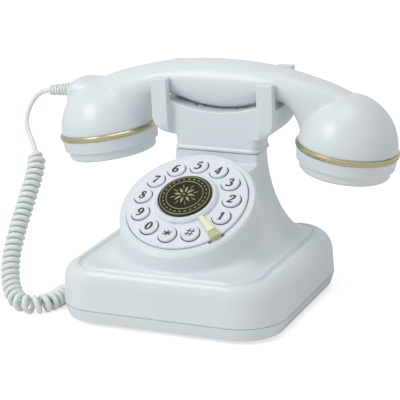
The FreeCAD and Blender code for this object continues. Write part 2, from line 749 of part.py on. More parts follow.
def heel(inset):
    """Square block behind the mouthpiece dome, where the cord leaves."""
    def rect(x, z):
        half = (HEEL_INNER_X - x - inset) / 2
        return ring_wire(half, HANDSET_Y - HEEL_HALF_Y + inset, HANDSET_Y + HEEL_HALF_Y - inset,
                         HEEL_R - min(inset, HEEL_R - 1.5), z, x + inset + half)
    return loft([rect(HEEL_BOTTOM_X, HEEL_BOTTOM), rect((HEEL_BOTTOM_X + 2 * HEEL_TOP_X) / 3 + 0.4, (HEEL_BOTTOM + HEEL_TOP) / 2),
                 rect(HEEL_TOP_X, HEEL_TOP - inset)])


def relief_place(shape):
    """Moves a piece from a frame with Z along the strain relief to the heel's end."""
    out = shape.copy()
    out.rotate(V(0, 0, 0), V(0, 1, 0), -90 - RELIEF_DROOP)
    out.translate(V(HEEL_TOP_X - RELIEF_SEAT, HANDSET_Y, RELIEF_Z))
    return out


def handset_shell():
    block = heel(0.0)
    block = eased(block, HEEL_ROUND, lambda e: min(v.Z for v in e.Vertexes) > HEEL_TOP - 0.01)
    outer = fuse(grip(0.0), dome(1, 0.0), dome(-1, 0.0), block)
    for side in (1, -1):
        below = to_cap(box(-60, 60, -60, 60, -60, 0), side)
        outer = outer.cut(below)
    inner = fuse(grip(GRIP_WALL), dome(1, GRIP_WALL), dome(-1, GRIP_WALL), heel(GRIP_WALL))
    for side in (1, -1):
        inner = fuse(inner, to_cap(rod(DOME_R - GRIP_WALL, -2, DOME_FOOT), side))
    shell = outer.cut(inner)
    shell = shell.cut(relief_place(rod(RELIEF_CORE_R, -6, 6)))
    return shell.cut(relief_place(rod(RELIEF_RIB_R + SHANK_GAP, RELIEF_FIRST - SHANK_GAP, 6)))


def cap_ring(side):
    low = -RING_HEIGHT
    inner = DOME_R - GRIP_WALL
    mid = low + RING_HEIGHT / 2
    ring = turned([(inner, low), (RING_R - 0.7, low), (RING_R - 0.2, low + 0.6), (RING_R, mid),
                   (RING_R - 0.2, -0.6), (RING_R - 0.7, 0), (inner, 0)])
    return to_cap(ring, side)


def cap(side, holes):
    """Screw cap: a wide step, a narrower lip and a spigot that goes up into the shell."""
    top = -RING_HEIGHT
    step = top - STEP_HEIGHT
    end = step - LIP_HEIGHT
    spigot_r = DOME_R - GRIP_WALL - SLIP
    outline = [(0, end), (LIP_R - LIP_TAPER - 1.2, end), (LIP_R - LIP_TAPER, end + 1.2), (LIP_R, step),
               (STEP_R - STEP_TAPER, step), (STEP_R, top), (spigot_r, top), (spigot_r, CAP_SPIGOT),
               (spigot_r - CAP_SPIGOT_WALL, CAP_SPIGOT), (spigot_r - CAP_SPIGOT_WALL, step),
               (LIP_R - CAP_WALL - 0.8, end + CAP_WALL), (0, end + CAP_WALL)]
    body = turned(outline)
    body = body.cut(rod(SOUND_HOLE_R, end - 1, end + CAP_WALL + 1))
    for i in range(holes):
        x, y = polar(SOUND_CIRCLE_R, 360.0 * i / holes)
        body = body.cut(rod(SOUND_HOLE_R, end - 1, end + CAP_WALL + 1, x, y))
    return to_cap(body, side)


def capsule(side, radius, height):
    """Receiver or microphone, seated on the floor of its cap."""
    low = -RING_HEIGHT - STEP_HEIGHT - LIP_HEIGHT + CAP_WALL
    body = fuse(rod(radius, low, low + height), rod(radius * 0.55, low + height, low + height + 2.5))
    return to_cap(body, side)


def handset_weight():
    """Steel bar in the grip that gives the handset its heft."""
    low = SADDLE_LOW + WEIGHT_RISE
    return box(-WEIGHT_HALF_X, WEIGHT_HALF_X, HANDSET_Y - WEIGHT_HALF_Y, HANDSET_Y + WEIGHT_HALF_Y,
               low, low + WEIGHT_HEIGHT)


def strain_relief():
    pitch = RELIEF_LENGTH / RELIEF_RIBS
    core = rod(RELIEF_CORE_R - SHANK_GAP, -3.0, RELIEF_LENGTH)
    pieces = []
    for i in range(RELIEF_RIBS):
        radius = RELIEF_RIB_R + (RELIEF_TIP_R - RELIEF_RIB_R) * i / (RELIEF_RIBS - 1)
        start = RELIEF_FIRST + pitch * i * 0.97
        pieces.append(turned([(0, start), (radius - 0.3, start), (radius, start + 0.3),
                              (radius, start + pitch * 0.5), (radius - 0.3, start + pitch * 0.55),
                              (0, start + pitch * 0.55)]))
    return relief_place(fuse(core, *pieces))


# Cradle and hook

def cradle_front_form(inset):
    """Front outline: neck, bowl and wings, carried through in depth."""
    half = CRADLE_HALF_X - inset
    neck = NECK_HALF_X - inset
    centre_x, centre_z = CRADLE_HALF_X - BOWL_R, BOWL_BOTTOM + BOWL_R
    radius = BOWL_R - inset
    angle = math.asin(max(-1.0, min(1.0, (neck - centre_x) / radius)))
    meet = centre_z - radius * math.cos(angle)
    k = (math.pi / 2 + angle) / 2
    mid = (centre_x + radius * math.sin(k), centre_z - radius * math.cos(k))
    top = PRONG_BACK_TOP + 5
    edges = []

    def line(a, b):
        edges.append(Part.LineSegment(V(a[0], 0, a[1]), V(b[0], 0, b[1])).toShape())

    def arc(a, m, b):
        edges.append(Part.Arc(V(a[0], 0, a[1]), V(m[0], 0, m[1]), V(b[0], 0, b[1])).toShape())
    base = NECK_TOP + BEAD_HEIGHT / 2
    line((-neck, base), (neck, base))
    line((neck, base), (neck, meet))
    arc((neck, meet), mid, (half, centre_z))
    line((half, centre_z), (half, top))
    line((half, top), (-half, top))
    line((-half, top), (-half, centre_z))
    arc((-half, centre_z), (-mid[0], mid[1]), (-neck, meet))
    line((-neck, meet), (-neck, base))
    face = Part.Face(Part.Wire(edges))
    return face.extrude(V(0, 120, 0)).translated(V(0, -20, 0))


def cradle_side_form(inset):
    """Side outline: neck and the sweep out to the front and back prongs, carried across."""
    front, back = PRONG_FRONT + inset, PRONG_BACK - inset
    neck_front, neck_back = NECK_FRONT + inset, NECK_BACK - inset
    top = PRONG_BACK_TOP + 5
    front_low, front_high = BOWL_BOTTOM + 1.0 + inset, BOWL_BOTTOM + 8.0 + inset
    back_low, back_high = BOWL_BOTTOM + 1.0 + inset, BOWL_BOTTOM + BOWL_R + inset
    base = NECK_TOP + BEAD_HEIGHT / 2
    edges = []

    def line(a, b):
        edges.append(Part.LineSegment(V(0, a[0], a[1]), V(0, b[0], b[1])).toShape())

    def sweep(a, b):
        """Quarter oval from a level start to an upright end, as an arc through its belly."""
        m = (a[0] + (b[0] - a[0]) * 0.72, a[1] + (b[1] - a[1]) * 0.30)
        edges.append(Part.Arc(V(0, a[0], a[1]), V(0, m[0], m[1]), V(0, b[0], b[1])).toShape())
    line((neck_front, base), (neck_back, base))
    line((neck_back, base), (neck_back, back_low))
    sweep((neck_back, back_low), (back, back_high))
    line((back, back_high), (back, top))
    line((back, top), (front, top))
    line((front, top), (front, front_high))
    edges.append(Part.Arc(V(0, front, front_high),
                          V(0, front + (neck_front - front) * 0.3, front_low + (front_high - front_low) * 0.4),
                          V(0, neck_front, front_low)).toShape())
    line((neck_front, front_low), (neck_front, base))
    face = Part.Face(Part.Wire(edges))
    return face.extrude(V(160, 0, 0)).translated(V(-80, 0, 0))


def saddle_space(drop):
    """Everything above the saddle and between the prongs, lowered by drop for the hollow below."""
    inner_front = PRONG_FRONT + PRONG_THICK
    inner_back = PRONG_BACK - PRONG_BACK_THICK
    prong_x = CRADLE_HALF_X - PRONG_WIDTH
    low, high = SADDLE_LOW - drop, PRONG_BACK_TOP + 10
    roll = Part.makeCylinder(SADDLE_R, 80, V(0, -5, low + SADDLE_R), V(0, 1, 0))
    middle = roll.common(box(-prong_x, prong_x, -5, 75, low - 5, high))
    sides = fuse(box(-60, -prong_x, inner_front, inner_back, WING_TOP - drop, high),
                 box(prong_x, 60, inner_front, inner_back, WING_TOP - drop, high))
    return middle, sides


def cradle():
    form = cradle_front_form(0.0).common(cradle_side_form(0.0))
    middle, sides = saddle_space(0.0)
    form = form.cut(middle).cut(sides)
    prong_x = CRADLE_HALF_X - PRONG_WIDTH
    form = form.cut(box(-prong_x, prong_x, -10, NECK_FRONT, 80, 160))
    form = form.cut(box(-prong_x, prong_x, PRONG_BACK - PRONG_BACK_THICK / 2, 90, 80, 160).cut(
        box(-prong_x, prong_x, -10, PRONG_BACK, 80, SADDLE_LOW)))
    form = form.cut(box(-60, 60, -10, HANDSET_Y, PRONG_FRONT_TOP, 160))
    form = form.cut(box(-60, 60, HANDSET_Y, 90, PRONG_BACK_TOP, 160))
    around = box(-60, 60, -10, 90, NECK_TOP, BOWL_BOTTOM)
    form = form.cut(around.cut(neck_block(0.0, NECK_TOP, BOWL_BOTTOM + 1)))
    bead = neck_block(-BEAD, NECK_TOP, NECK_TOP + BEAD_HEIGHT)
    skirt = neck_block(WALL + SLIP / 2, BRACKET_TOP, NECK_TOP + BEAD_HEIGHT / 4)
    form = form.fuse(bead).fuse(skirt)
    floor = NECK_TOP + BEAD_HEIGHT + WALL / 2
    middle, sides = saddle_space(WALL)
    hollow = cradle_front_form(WALL).common(cradle_side_form(WALL)).cut(middle).cut(sides)
    hollow = hollow.common(box(-60, 60, NECK_FRONT + WALL, PRONG_BACK - PRONG_BACK_THICK - WALL,
                               floor, SADDLE_LOW - WALL))
    form = form.cut(hollow)
    form = form.cut(neck_block(WALL + SLIP / 2 + SKIRT_WALL, BRACKET_TOP - 1, floor + 1))
    for sx in (-1, 1):
        form = form.fuse(rod(POST_R, BRACKET_TOP, SADDLE_LOW - WALL / 2, sx * POST_X, NECK_MIDDLE))
        form = form.cut(rod(SMALL_SCREW_R, BRACKET_TOP - 1, BRACKET_TOP + 8, sx * POST_X, NECK_MIDDLE))
        form = form.cut(rod(PLUNGER_R + SLIP, SADDLE_LOW - 6, SADDLE_LOW + 6, sx * PLUNGER_X, NECK_MIDDLE))
    return form


def hook_bracket():
    plate = neck_block(WALL + SLIP / 2, BRACKET_TOP - BRACKET_THICK, BRACKET_TOP)
    for sx in (-1, 1):
        plate = plate.cut(rod(SMALL_SCREW_R, BRACKET_TOP - 5, BRACKET_TOP + 5, sx * POST_X, NECK_MIDDLE))
    return plate.cut(box(-5, 5, NECK_MIDDLE + 4, NECK_MIDDLE + 6.5, BRACKET_TOP - 5, BRACKET_TOP + 5))


def cradle_screws():
    out = []
    for sx in (-1, 1):
        one = screw(SMALL_SCREW_R - SHANK_GAP, SMALL_HEAD_R, SMALL_HEAD, BRACKET_THICK + 6)
        one.translate(V(sx * POST_X, NECK_MIDDLE, BRACKET_TOP - BRACKET_THICK - SMALL_HEAD))
        out.append(one)
    return Part.makeCompound(out)


def hook_switch():
    body = box(-HOOK_SWITCH_X, HOOK_SWITCH_X, NECK_MIDDLE - HOOK_SWITCH_Y, NECK_MIDDLE + HOOK_SWITCH_Y,
               BRACKET_TOP, BRACKET_TOP + HOOK_SWITCH_HEIGHT)
    nib = rod(1.5, BRACKET_TOP + HOOK_SWITCH_HEIGHT, BRIDGE_LOW - SLIP, 0, NECK_MIDDLE)
    return fuse(body, nib)


def hook_bridge():
    bar = box(-BRIDGE_HALF_X, BRIDGE_HALF_X, NECK_MIDDLE - BRIDGE_HALF_Y, NECK_MIDDLE + BRIDGE_HALF_Y,
              BRIDGE_LOW, BRIDGE_LOW + BRIDGE_THICK)
    return eased(bar, 1.5, lambda e: abs(e.tangentAt(e.FirstParameter).z) > 0.9)


def plunger(side):
    top = SADDLE_LOW + SADDLE_R - math.sqrt(SADDLE_R ** 2 - PLUNGER_X ** 2) + 0.1
    post = turned([(0, BRIDGE_LOW + BRIDGE_THICK), (PLUNGER_R, BRIDGE_LOW + BRIDGE_THICK), (PLUNGER_R, top - 1.2),
                   (PLUNGER_R - 1.0, top - 0.2), (0, top)])
    post.translate(V(side * PLUNGER_X, NECK_MIDDLE, 0))
    return post


# Jacks, switches, plug

def jack_body():
    """Modular socket, mouth towards -Y in its own frame."""
    body = box(-JACK_WIDTH / 2, JACK_WIDTH / 2, 0, JACK_DEPTH, -JACK_HEIGHT / 2, JACK_HEIGHT / 2)
    mouth = box(-PLUG_WIDTH / 2 - SLIP, PLUG_WIDTH / 2 + SLIP, -1, PLUG_IN + 0.5,
                -PLUG_HEIGHT / 2 - SLIP, PLUG_HEIGHT / 2 + SLIP)
    return body.cut(mouth)


def handset_jack():
    one = jack_body()
    one.rotate(V(0, 0, 0), V(0, 0, 1), -90)
    one.translate(V(-PLINTH_X + JACK_INSET, JACK_Y, JACK_Z))
    tray = box(-PLINTH_X + WALL + 4.5, -PLINTH_X + JACK_DEPTH + JACK_INSET, JACK_Y - 4, JACK_Y + 4,
               FLOOR_TOP, JACK_Z - JACK_HEIGHT / 2)
    return fuse(one, tray)


def line_jack():
    one = jack_body()
    one.rotate(V(0, 0, 0), V(0, 0, 1), 180)
    one.translate(V(LINE_JACK_X, PLINTH_BACK - JACK_INSET, JACK_Z))
    tray = box(LINE_JACK_X - 4, LINE_JACK_X + 4, PLINTH_BACK - JACK_DEPTH - JACK_INSET, PLINTH_BACK - WALL - 4.5,
               FLOOR_TOP, JACK_Z - JACK_HEIGHT / 2)
    return fuse(one, tray)


def slide_switch(x):
    back = PLINTH_BACK - WALL - 1.6
    body = box(x - 7, x + 7, back - 5, back, JACK_Z - 4, JACK_Z + 4)
    track = SLIDER_HALF / 2 + SLIDER_TRAVEL / 2 + SLIP
    body = body.cut(box(x - track, x + track, back - 1.5, back + 1, JACK_Z - 1.6 - SLIP, JACK_Z + 1.6 + SLIP))
    legs = box(x - 5, x + 5, back - 4.5, back - 3, FLOOR_TOP, JACK_Z - 4)
    return fuse(body, legs)


def slide_knob(x, at):
    back = PLINTH_BACK - WALL - 1.6
    mid = x + at
    face = PLINTH_BACK + 0.6
    knob = box(mid - SLIDER_HALF / 2, mid + SLIDER_HALF / 2, back - 1.2, face, JACK_Z - 1.6, JACK_Z + 1.6)
    for i in (-1, 0, 1):
        groove = mid + i * 1.2
        knob = knob.cut(box(groove - 0.2, groove + 0.2, face - 0.4, face + 1, JACK_Z - 2, JACK_Z + 2))
    return knob


def cord_plug():
    x_in = -PLINTH_X + JACK_INSET + PLUG_IN
    body = box(x_in - PLUG_LENGTH, x_in, JACK_Y - PLUG_WIDTH / 2, JACK_Y + PLUG_WIDTH / 2,
               JACK_Z - PLUG_HEIGHT / 2, JACK_Z + PLUG_HEIGHT / 2)
    body = eased(body, 0.6, lambda e: abs(e.tangentAt(e.FirstParameter).x) > 0.9)
    clip = box(x_in - PLUG_LENGTH + 2, x_in - PLUG_IN - 1.0, JACK_Y - 1.5, JACK_Y + 1.5,
               JACK_Z - PLUG_HEIGHT / 2 - 1.4, JACK_Z - PLUG_HEIGHT / 2)
    return fuse(body, clip)


# Cord routes, chosen by hand from the photograph; the coil lies on the table at its low end.
# Every end run is in line with the piece that it meets, so that the end faces lie flat on each other.

def beyond(a, b, length):
    """Point past b on the line from a through b."""
    return tuple(V(*b).add(V(*b).sub(V(*a)).normalize().multiply(length)))


RELIEF_ROOT = (HEEL_TOP_X - RELIEF_SEAT, HANDSET_Y, RELIEF_Z)
RELIEF_TIP = (RELIEF_ROOT[0] - RELIEF_LENGTH * math.cos(math.radians(RELIEF_DROOP)), HANDSET_Y,
              RELIEF_Z - RELIEF_LENGTH * math.sin(math.radians(RELIEF_DROOP)))
PLUG_TAIL = (-PLINTH_X + JACK_INSET + PLUG_IN - PLUG_LENGTH, JACK_Y, JACK_Z)

COIL_POINTS = [(-120.6, 13.0, 80.4), (-116.6, 8.1, 75.4), (-115.0, -1.6, 66.0), (-114.6, -12.6, 54.8),
               (-114.2, -23.8, 43.8), (-113.2, -34.4, 33.0), (-111.0, -43.6, 23.4), (-107.0, -50.6, 15.2),
               (-100.4, -55.8, 9.2), (-92.6, -57.2, 6.4), (-85.2, -53.8, 6.2), (-80.2, -46.4, 6.3),
               (-78.6, -36.6, 6.2), (-78.4, -30.0, 6.3)]

LEAD_POINTS = [RELIEF_TIP, beyond(RELIEF_ROOT, RELIEF_TIP, 5.0), (-131.4, 37.7, 109.8), (-134.8, 34.1, 103.4),
               (-134.6, 28.1, 96.2), (-130.4, 22.1, 89.8), beyond(COIL_POINTS[1], COIL_POINTS[0], 7.0),
               COIL_POINTS[0]]

TAIL_POINTS = [COIL_POINTS[-1], beyond(COIL_POINTS[-2], COIL_POINTS[-1], 6.0), (-79.6, -17.0, 3.8),
               (-83.5, -9.5, 2.3), (-88.0, -1.5, 4.6), (-89.9, 4.7, 10.0), (-89.9, 9.7, 15.6),
               (PLUG_TAIL[0] - 6.2, JACK_Y, JACK_Z), PLUG_TAIL]


def export(name, shape):
    shape.exportStep("parts/" + name + ".step")
    print(name, "solids", len(shape.Solids), "valid", shape.isValid(), "volume %.0f" % shape.Volume)


def main():
    export("body_shell", body_shell())
    export("base_plate", base_plate())
    export("rubber_feet", rubber_feet())
    export("base_screws", base_screws())
    export("main_board", main_board())
    export("main_board_screws", board_screws())
    export("ringer", ringer())
    export("ballast_weight", ballast())
    export("dial_plate", dial_plate())
    export("hub_ring", hub_ring())
    export("redial_key", redial_key())
    export("medallion", medallion())
    export("finger_stop", finger_stop())
    export("key_sheet", key_sheet())
    export("key_board", key_board())
    export("key_board_screws", key_board_screws())
    for name, (x, y) in zip(KEY_NAMES, key_places()):
        export("key_" + name, key(x, y))
    export("cradle", cradle())
    export("hook_bracket", hook_bracket())
    export("cradle_screws", cradle_screws())
    export("hook_switch", hook_switch())
    export("hook_bridge", hook_bridge())
    export("hook_plunger_right", plunger(1))
    export("hook_plunger_left", plunger(-1))
    export("handset_jack", handset_jack())
    export("line_jack", line_jack())
    export("ringer_switch", slide_switch(SLIDER_X))
    export("ringer_knob", slide_knob(SLIDER_X, -SLIDER_TRAVEL / 2))
    export("tone_switch", slide_switch(TONE_X))
    export("tone_knob", slide_knob(TONE_X, -SLIDER_TRAVEL / 2))
    export("handset_shell", handset_shell())
    export("ear_ring", cap_ring(1))
    export("mouth_ring", cap_ring(-1))
    export("ear_cap", cap(1, 8))
    export("mouth_cap", cap(-1, 5))
    export("receiver", capsule(1, RECEIVER_R, RECEIVER_HEIGHT))
    export("microphone", capsule(-1, MIC_R, MIC_HEIGHT))
    export("handset_weight", handset_weight())
    export("strain_relief", strain_relief())
    export("cord_lead", tube(LEAD_POINTS, CORD_R, "lead"))
    export("curly_cord", tube(COIL_POINTS, COIL_R, "coil"))
    export("cord_tail", tube(TAIL_POINTS, CORD_R, "tail"))
    export("cord_plug", cord_plug())


main()
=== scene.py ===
import math

import bmesh
import bpy
from mathutils import Matrix, Vector


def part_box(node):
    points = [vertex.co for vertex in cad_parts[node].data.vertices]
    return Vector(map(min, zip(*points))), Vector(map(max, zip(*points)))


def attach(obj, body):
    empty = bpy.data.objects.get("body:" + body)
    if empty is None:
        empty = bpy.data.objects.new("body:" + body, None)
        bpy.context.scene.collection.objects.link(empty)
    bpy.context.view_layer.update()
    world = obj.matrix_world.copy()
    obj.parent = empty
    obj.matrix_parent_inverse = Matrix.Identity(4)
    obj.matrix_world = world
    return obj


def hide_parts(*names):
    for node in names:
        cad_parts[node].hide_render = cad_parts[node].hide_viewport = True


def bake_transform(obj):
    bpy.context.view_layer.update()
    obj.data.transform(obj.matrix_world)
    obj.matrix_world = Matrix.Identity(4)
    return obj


# Retro push-button desk telephone in white moulded plastic, with gold bands and a curly cord.

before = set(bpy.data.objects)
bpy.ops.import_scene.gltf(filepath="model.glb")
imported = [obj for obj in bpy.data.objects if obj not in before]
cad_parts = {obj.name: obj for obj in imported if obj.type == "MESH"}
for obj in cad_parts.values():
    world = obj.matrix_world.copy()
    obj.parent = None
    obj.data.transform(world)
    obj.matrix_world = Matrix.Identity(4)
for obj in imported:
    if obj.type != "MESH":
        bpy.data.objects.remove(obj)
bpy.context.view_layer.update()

MM = 0.001

# Sizes shared with the frame, in millimetres
PARTING = 10.4
SHOULDER_Z = 24.0
PLINTH_TOP = 35.0
NECK_TOP = 86.8
SADDLE_LOW = 111.2
PLINTH_X = 70.5
PLINTH_FRONT = -70.5
PLINTH_BACK = 61.5
DIAL_Y = -21.7
DIAL_Z = 67.0
DIAL_SLOPE = 29.4
BEZEL_R = 41.8
BEZEL_STAND = 1.4
RECESS_R = 37.55
SLOT_ANGLES = (-36.0, -49.0)
KEY_CIRCLE_R = 28.1
KEY_FIRST = -21.7
KEY_PITCH = 28.79
HANDSET_Y = 38.5
CAP_X = 80.2
CAP_Z = 93.1
CAP_TILT = 8.8
CORD_R = 1.65
COIL_R = 6.0


# Camera

CAMERA_PLACE = Vector((389.8, -878.7, 359.8)) * MM
CAMERA_TURN = 23.99
CAMERA_RISE = 17.19
CAMERA_ROLL = -1.99
CAMERA_LENS = 149.7
SENSOR_WIDTH = 36


def put_camera():
    turn, rise, roll = (math.radians(a) for a in (CAMERA_TURN, CAMERA_RISE, CAMERA_ROLL))
    back = Vector((math.sin(turn) * math.cos(rise), -math.cos(turn) * math.cos(rise), math.sin(rise)))
    level = Vector((math.cos(turn), math.sin(turn), 0))
    upward = back.cross(level)
    right = level * math.cos(roll) + upward * math.sin(roll)
    up = upward * math.cos(roll) - level * math.sin(roll)
    camera = bpy.data.objects.new("camera", bpy.data.cameras.new("camera"))
    bpy.context.collection.objects.link(camera)
    camera.data.lens = CAMERA_LENS
    camera.data.sensor_width = SENSOR_WIDTH
    camera.data.clip_start = 0.01
    camera.matrix_world = Matrix.Translation(CAMERA_PLACE) @ Matrix((right, up, back)).transposed().to_4x4()
    bpy.context.scene.camera = camera
    bpy.context.scene.view_settings.view_transform = "Standard"


# Finishes

class Signal:
    """A shader socket that takes part in sums as a number does."""

    def __init__(self, finish, socket):
        self.finish, self.socket = finish, socket

    def sum(self, operation, first, second):
        return self.finish.node("ShaderNodeMath", {"operation": operation}, {0: first, 1: second})

    def __add__(self, other):
        return self.sum("ADD", self, other)

    def __radd__(self, other):
        return self.sum("ADD", other, self)

    def __mul__(self, other):
        return self.sum("MULTIPLY", self, other)

    def __rmul__(self, other):
        return self.sum("MULTIPLY", other, self)

    def __pow__(self, other):
        return self.sum("POWER", self, other)

    def __rpow__(self, other):
        return self.sum("POWER", other, self)


class Finish:
    """A material and its nodes."""

    def __init__(self, name, color, roughness, metallic=0.0, coat=0.0):
        self.material = bpy.data.materials.new(name)
        self.material.use_nodes = True
        self.tree = self.material.node_tree
        self.shader = self.tree.nodes["Principled BSDF"]
        self.shader.inputs["Base Color"].default_value = (*color, 1)
        self.shader.inputs["Roughness"].default_value = roughness
        self.shader.inputs["Metallic"].default_value = metallic
        self.shader.inputs["Coat Weight"].default_value = coat
        self.material.diffuse_color = (*color, 1)

    def node(self, kind, settings=None, inputs=None, output=0):
        made = self.tree.nodes.new(kind)
        for key, value in (settings or {}).items():
            setattr(made, key, value)
        for key, value in (inputs or {}).items():
            self.join(value, made.inputs[key])
        return Signal(self, made.outputs[output])

    def join(self, value, socket):
        if isinstance(value, Signal):
            self.tree.links.new(value.socket, socket)
        else:
            socket.default_value = value

    def feed(self, socket, value):
        self.join(value, self.shader.inputs[socket])

    def place(self):
        return self.node("ShaderNodeTexCoord", output=3)

    def noise(self, scale, detail=2.0, roughness=0.5):
        sizes = {"Vector": self.place(), "Scale": scale, "Detail": detail, "Roughness": roughness}
        return self.node("ShaderNodeTexNoise", {}, sizes)

    def mix(self, share, first, second):
        return self.node("ShaderNodeMix", {"data_type": "RGBA"}, {0: share, 6: first, 7: second}, 2)

    def bump(self, height, distance, strength=0.5):
        sizes = {"Height": height, "Distance": distance, "Strength": strength}
        self.feed("Normal", self.node("ShaderNodeBump", {}, sizes))


CLOUD_SCALE = 35.0
CLOUD_SHARE = 0.6
GLOSS_SCALE = 140.0
GLOSS_SPREAD = 0.10
GLOSS_BELOW = 0.05
SKIN_SCALE = 900.0
PEEL_SCALE = 160.0
PEEL_SHARE = 0.8


def moulded(name, color, shade, roughness, coat=0.0, grain=0.00003):
    """Moulded plastic: a faint cloud in its colour, uneven gloss and a fine skin."""
    finish = Finish(name, color, roughness, coat=coat)
    cloud = finish.noise(CLOUD_SCALE, 3.0)
    finish.feed("Base Color", finish.mix(cloud * CLOUD_SHARE, (*color, 1), (*shade, 1)))
    finish.feed("Roughness", finish.noise(GLOSS_SCALE, 3.0) * GLOSS_SPREAD + (roughness - GLOSS_BELOW))
    finish.bump(finish.noise(SKIN_SCALE) + finish.noise(PEEL_SCALE) * PEEL_SHARE, grain)
    return finish.material


TARNISH_SCALE = 60.0
POLISH_SCALE = 300.0
POLISH_SPREAD = 0.14
SCRATCH_SCALE = 700.0
SCRATCH_DEPTH = 0.00002


def metal(name, color, shade, roughness):
    """Plated or bare metal: patches in its colour, uneven polish and fine scratches."""
    finish = Finish(name, color, roughness, metallic=1.0)
    finish.feed("Base Color", finish.mix(finish.noise(TARNISH_SCALE, 3.0), (*color, 1), (*shade, 1)))
    finish.feed("Roughness", finish.noise(POLISH_SCALE, 3.0) * POLISH_SPREAD + (roughness - GLOSS_BELOW))
    finish.bump(finish.noise(SCRATCH_SCALE, 3.0), SCRATCH_DEPTH)
    return finish.material


SPECK_SCALE = 1500.0
SPECK_POWER = 3.0
SPECK_GAIN = 2.2


def patina():
    """Dark bronze with paler, worn speckles."""
    finish = Finish("dark bronze patina", (0.03, 0.026, 0.016), 0.42, metallic=0.85)
    specks = finish.noise(SPECK_SCALE, 4.0, 0.7) ** SPECK_POWER * SPECK_GAIN
    finish.feed("Base Color", finish.mix(specks, (0.010, 0.009, 0.005, 1), (0.085, 0.078, 0.042, 1)))
    finish.feed("Roughness", finish.noise(900.0, 3.0) * 0.3 + 0.3)
    finish.bump(finish.noise(1300.0, 4.0, 0.6), 0.00012, 0.7)
    return finish.material


WHITE = moulded("white plastic", (0.80, 0.85, 0.87), (0.77, 0.82, 0.85), 0.34, 0.15)
DIAL_WHITE = moulded("white dial plastic", (0.84, 0.88, 0.92), (0.80, 0.85, 0.90), 0.28, 0.2)
KEY_WHITE = moulded("white key plastic", (0.84, 0.87, 0.91), (0.80, 0.84, 0.89), 0.25, 0.25)
CORD_WHITE = moulded("cord vinyl", (0.84, 0.89, 0.86), (0.80, 0.85, 0.82), 0.38, 0.1)
IVORY = moulded("ivory strip", (0.93, 0.93, 0.68), (0.88, 0.88, 0.60), 0.3, 0.2)
OLIVE = moulded("olive strip foot", (0.60, 0.59, 0.36), (0.52, 0.52, 0.30), 0.3, 0.2)
GOLD = metal("pale gold", (0.60, 0.55, 0.35), (0.50, 0.45, 0.27), 0.2)
RELIEF_GOLD = metal("worn brass relief", (0.44, 0.42, 0.26), (0.24, 0.23, 0.13), 0.4)
BRONZE = patina()
STEEL = metal("bright steel", (0.60, 0.61, 0.62), (0.48, 0.49, 0.50), 0.3)
INK = moulded("grey brown ink", (0.050, 0.040, 0.042), (0.085, 0.072, 0.072), 0.5)
# Painted shade: a dark colour put in the gaps round the keys and inside the pockets by the finger stop, where
# shade falls.
PAINTED_GAP_SHADE = moulded("painted gap shade", (0.10, 0.11, 0.12), (0.07, 0.08, 0.09), 0.6)
RUBBER = moulded("black rubber", (0.02, 0.02, 0.02), (0.035, 0.035, 0.035), 0.8)
SILICONE = moulded("grey silicone", (0.35, 0.37, 0.38), (0.30, 0.32, 0.33), 0.7)
BOARD = moulded("green circuit board", (0.02, 0.12, 0.05), (0.03, 0.16, 0.07), 0.45)
BLACK = moulded("black plastic", (0.018, 0.018, 0.02), (0.03, 0.03, 0.032), 0.5)
CLEAR_PLUG = moulded("frosted plug", (0.70, 0.73, 0.73), (0.62, 0.66, 0.66), 0.3, 0.3)


def coat_node(finish, *names):
    """Puts a finish on every slot of nodes that come from the frame."""
    for name in names:
        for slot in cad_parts[name].material_slots:
            slot.material = finish


# Mesh helpers

def new_piece(name, mesh, finish):
    piece = bpy.data.objects.new(name, mesh)
    bpy.context.collection.objects.link(piece)
    mesh.materials.clear()
    mesh.materials.append(finish)
    return piece


def from_bmesh(name, bm, finish, smooth=True):
    bmesh.ops.recalc_face_normals(bm, faces=bm.faces)
    mesh = bpy.data.meshes.new(name)
    bm.to_mesh(mesh)
    bm.free()
    piece = new_piece(name, mesh, finish)
    for face in mesh.polygons:
        face.use_smooth = smooth
    return piece


def applied(piece):
    """Turns the piece's modifiers or curve into its plain mesh."""
    bpy.context.view_layer.update()
    made = bpy.data.meshes.new_from_object(piece.evaluated_get(bpy.context.evaluated_depsgraph_get()))
    if piece.type == "MESH":
        piece.modifiers.clear()
        piece.data = made
        return piece
    finish = piece.data.materials[0]
    name = piece.name
    bpy.data.objects.remove(piece)
    return new_piece(name, made, finish)


def modified(piece, kind, **settings):
    modifier = piece.modifiers.new(kind.lower(), kind)
    for key, value in settings.items():
        setattr(modifier, key, value)
    return applied(piece)


def edged(piece, degrees=35.0):
    """Smooth faces with the creases sharper than the angle kept."""
    piece.data.shade_smooth()
    piece.data.set_sharp_from_angle(angle=math.radians(degrees))
    return piece


def stacked(bm, rings):
    """Closed solid through rings of equally many points, in millimetres."""
    rows = [[bm.verts.new(Vector(p) * MM) for p in ring] for ring in rings]
    count = len(rings[0])
    for low, high in zip(rows, rows[1:]):
        for i in range(count):
            j = (i + 1) % count
            bm.faces.new((low[i], low[j], high[j], high[i]))
    bm.faces.new(list(reversed(rows[0])))
    bm.faces.new(rows[-1])


def rounded_oblong(half_x, front, back, radius, z, steps=14):
    """Level ring with round corners, counter-clockwise."""
    corners = [(half_x - radius, back - radius, 0), (-half_x + radius, back - radius, 90),
               (-half_x + radius, front + radius, 180), (half_x - radius, front + radius, 270)]
    return [(x + radius * math.cos(math.radians(start + 90 * k / steps)),
             y + radius * math.sin(math.radians(start + 90 * k / steps)), z)
            for x, y, start in corners for k in range(steps + 1)]


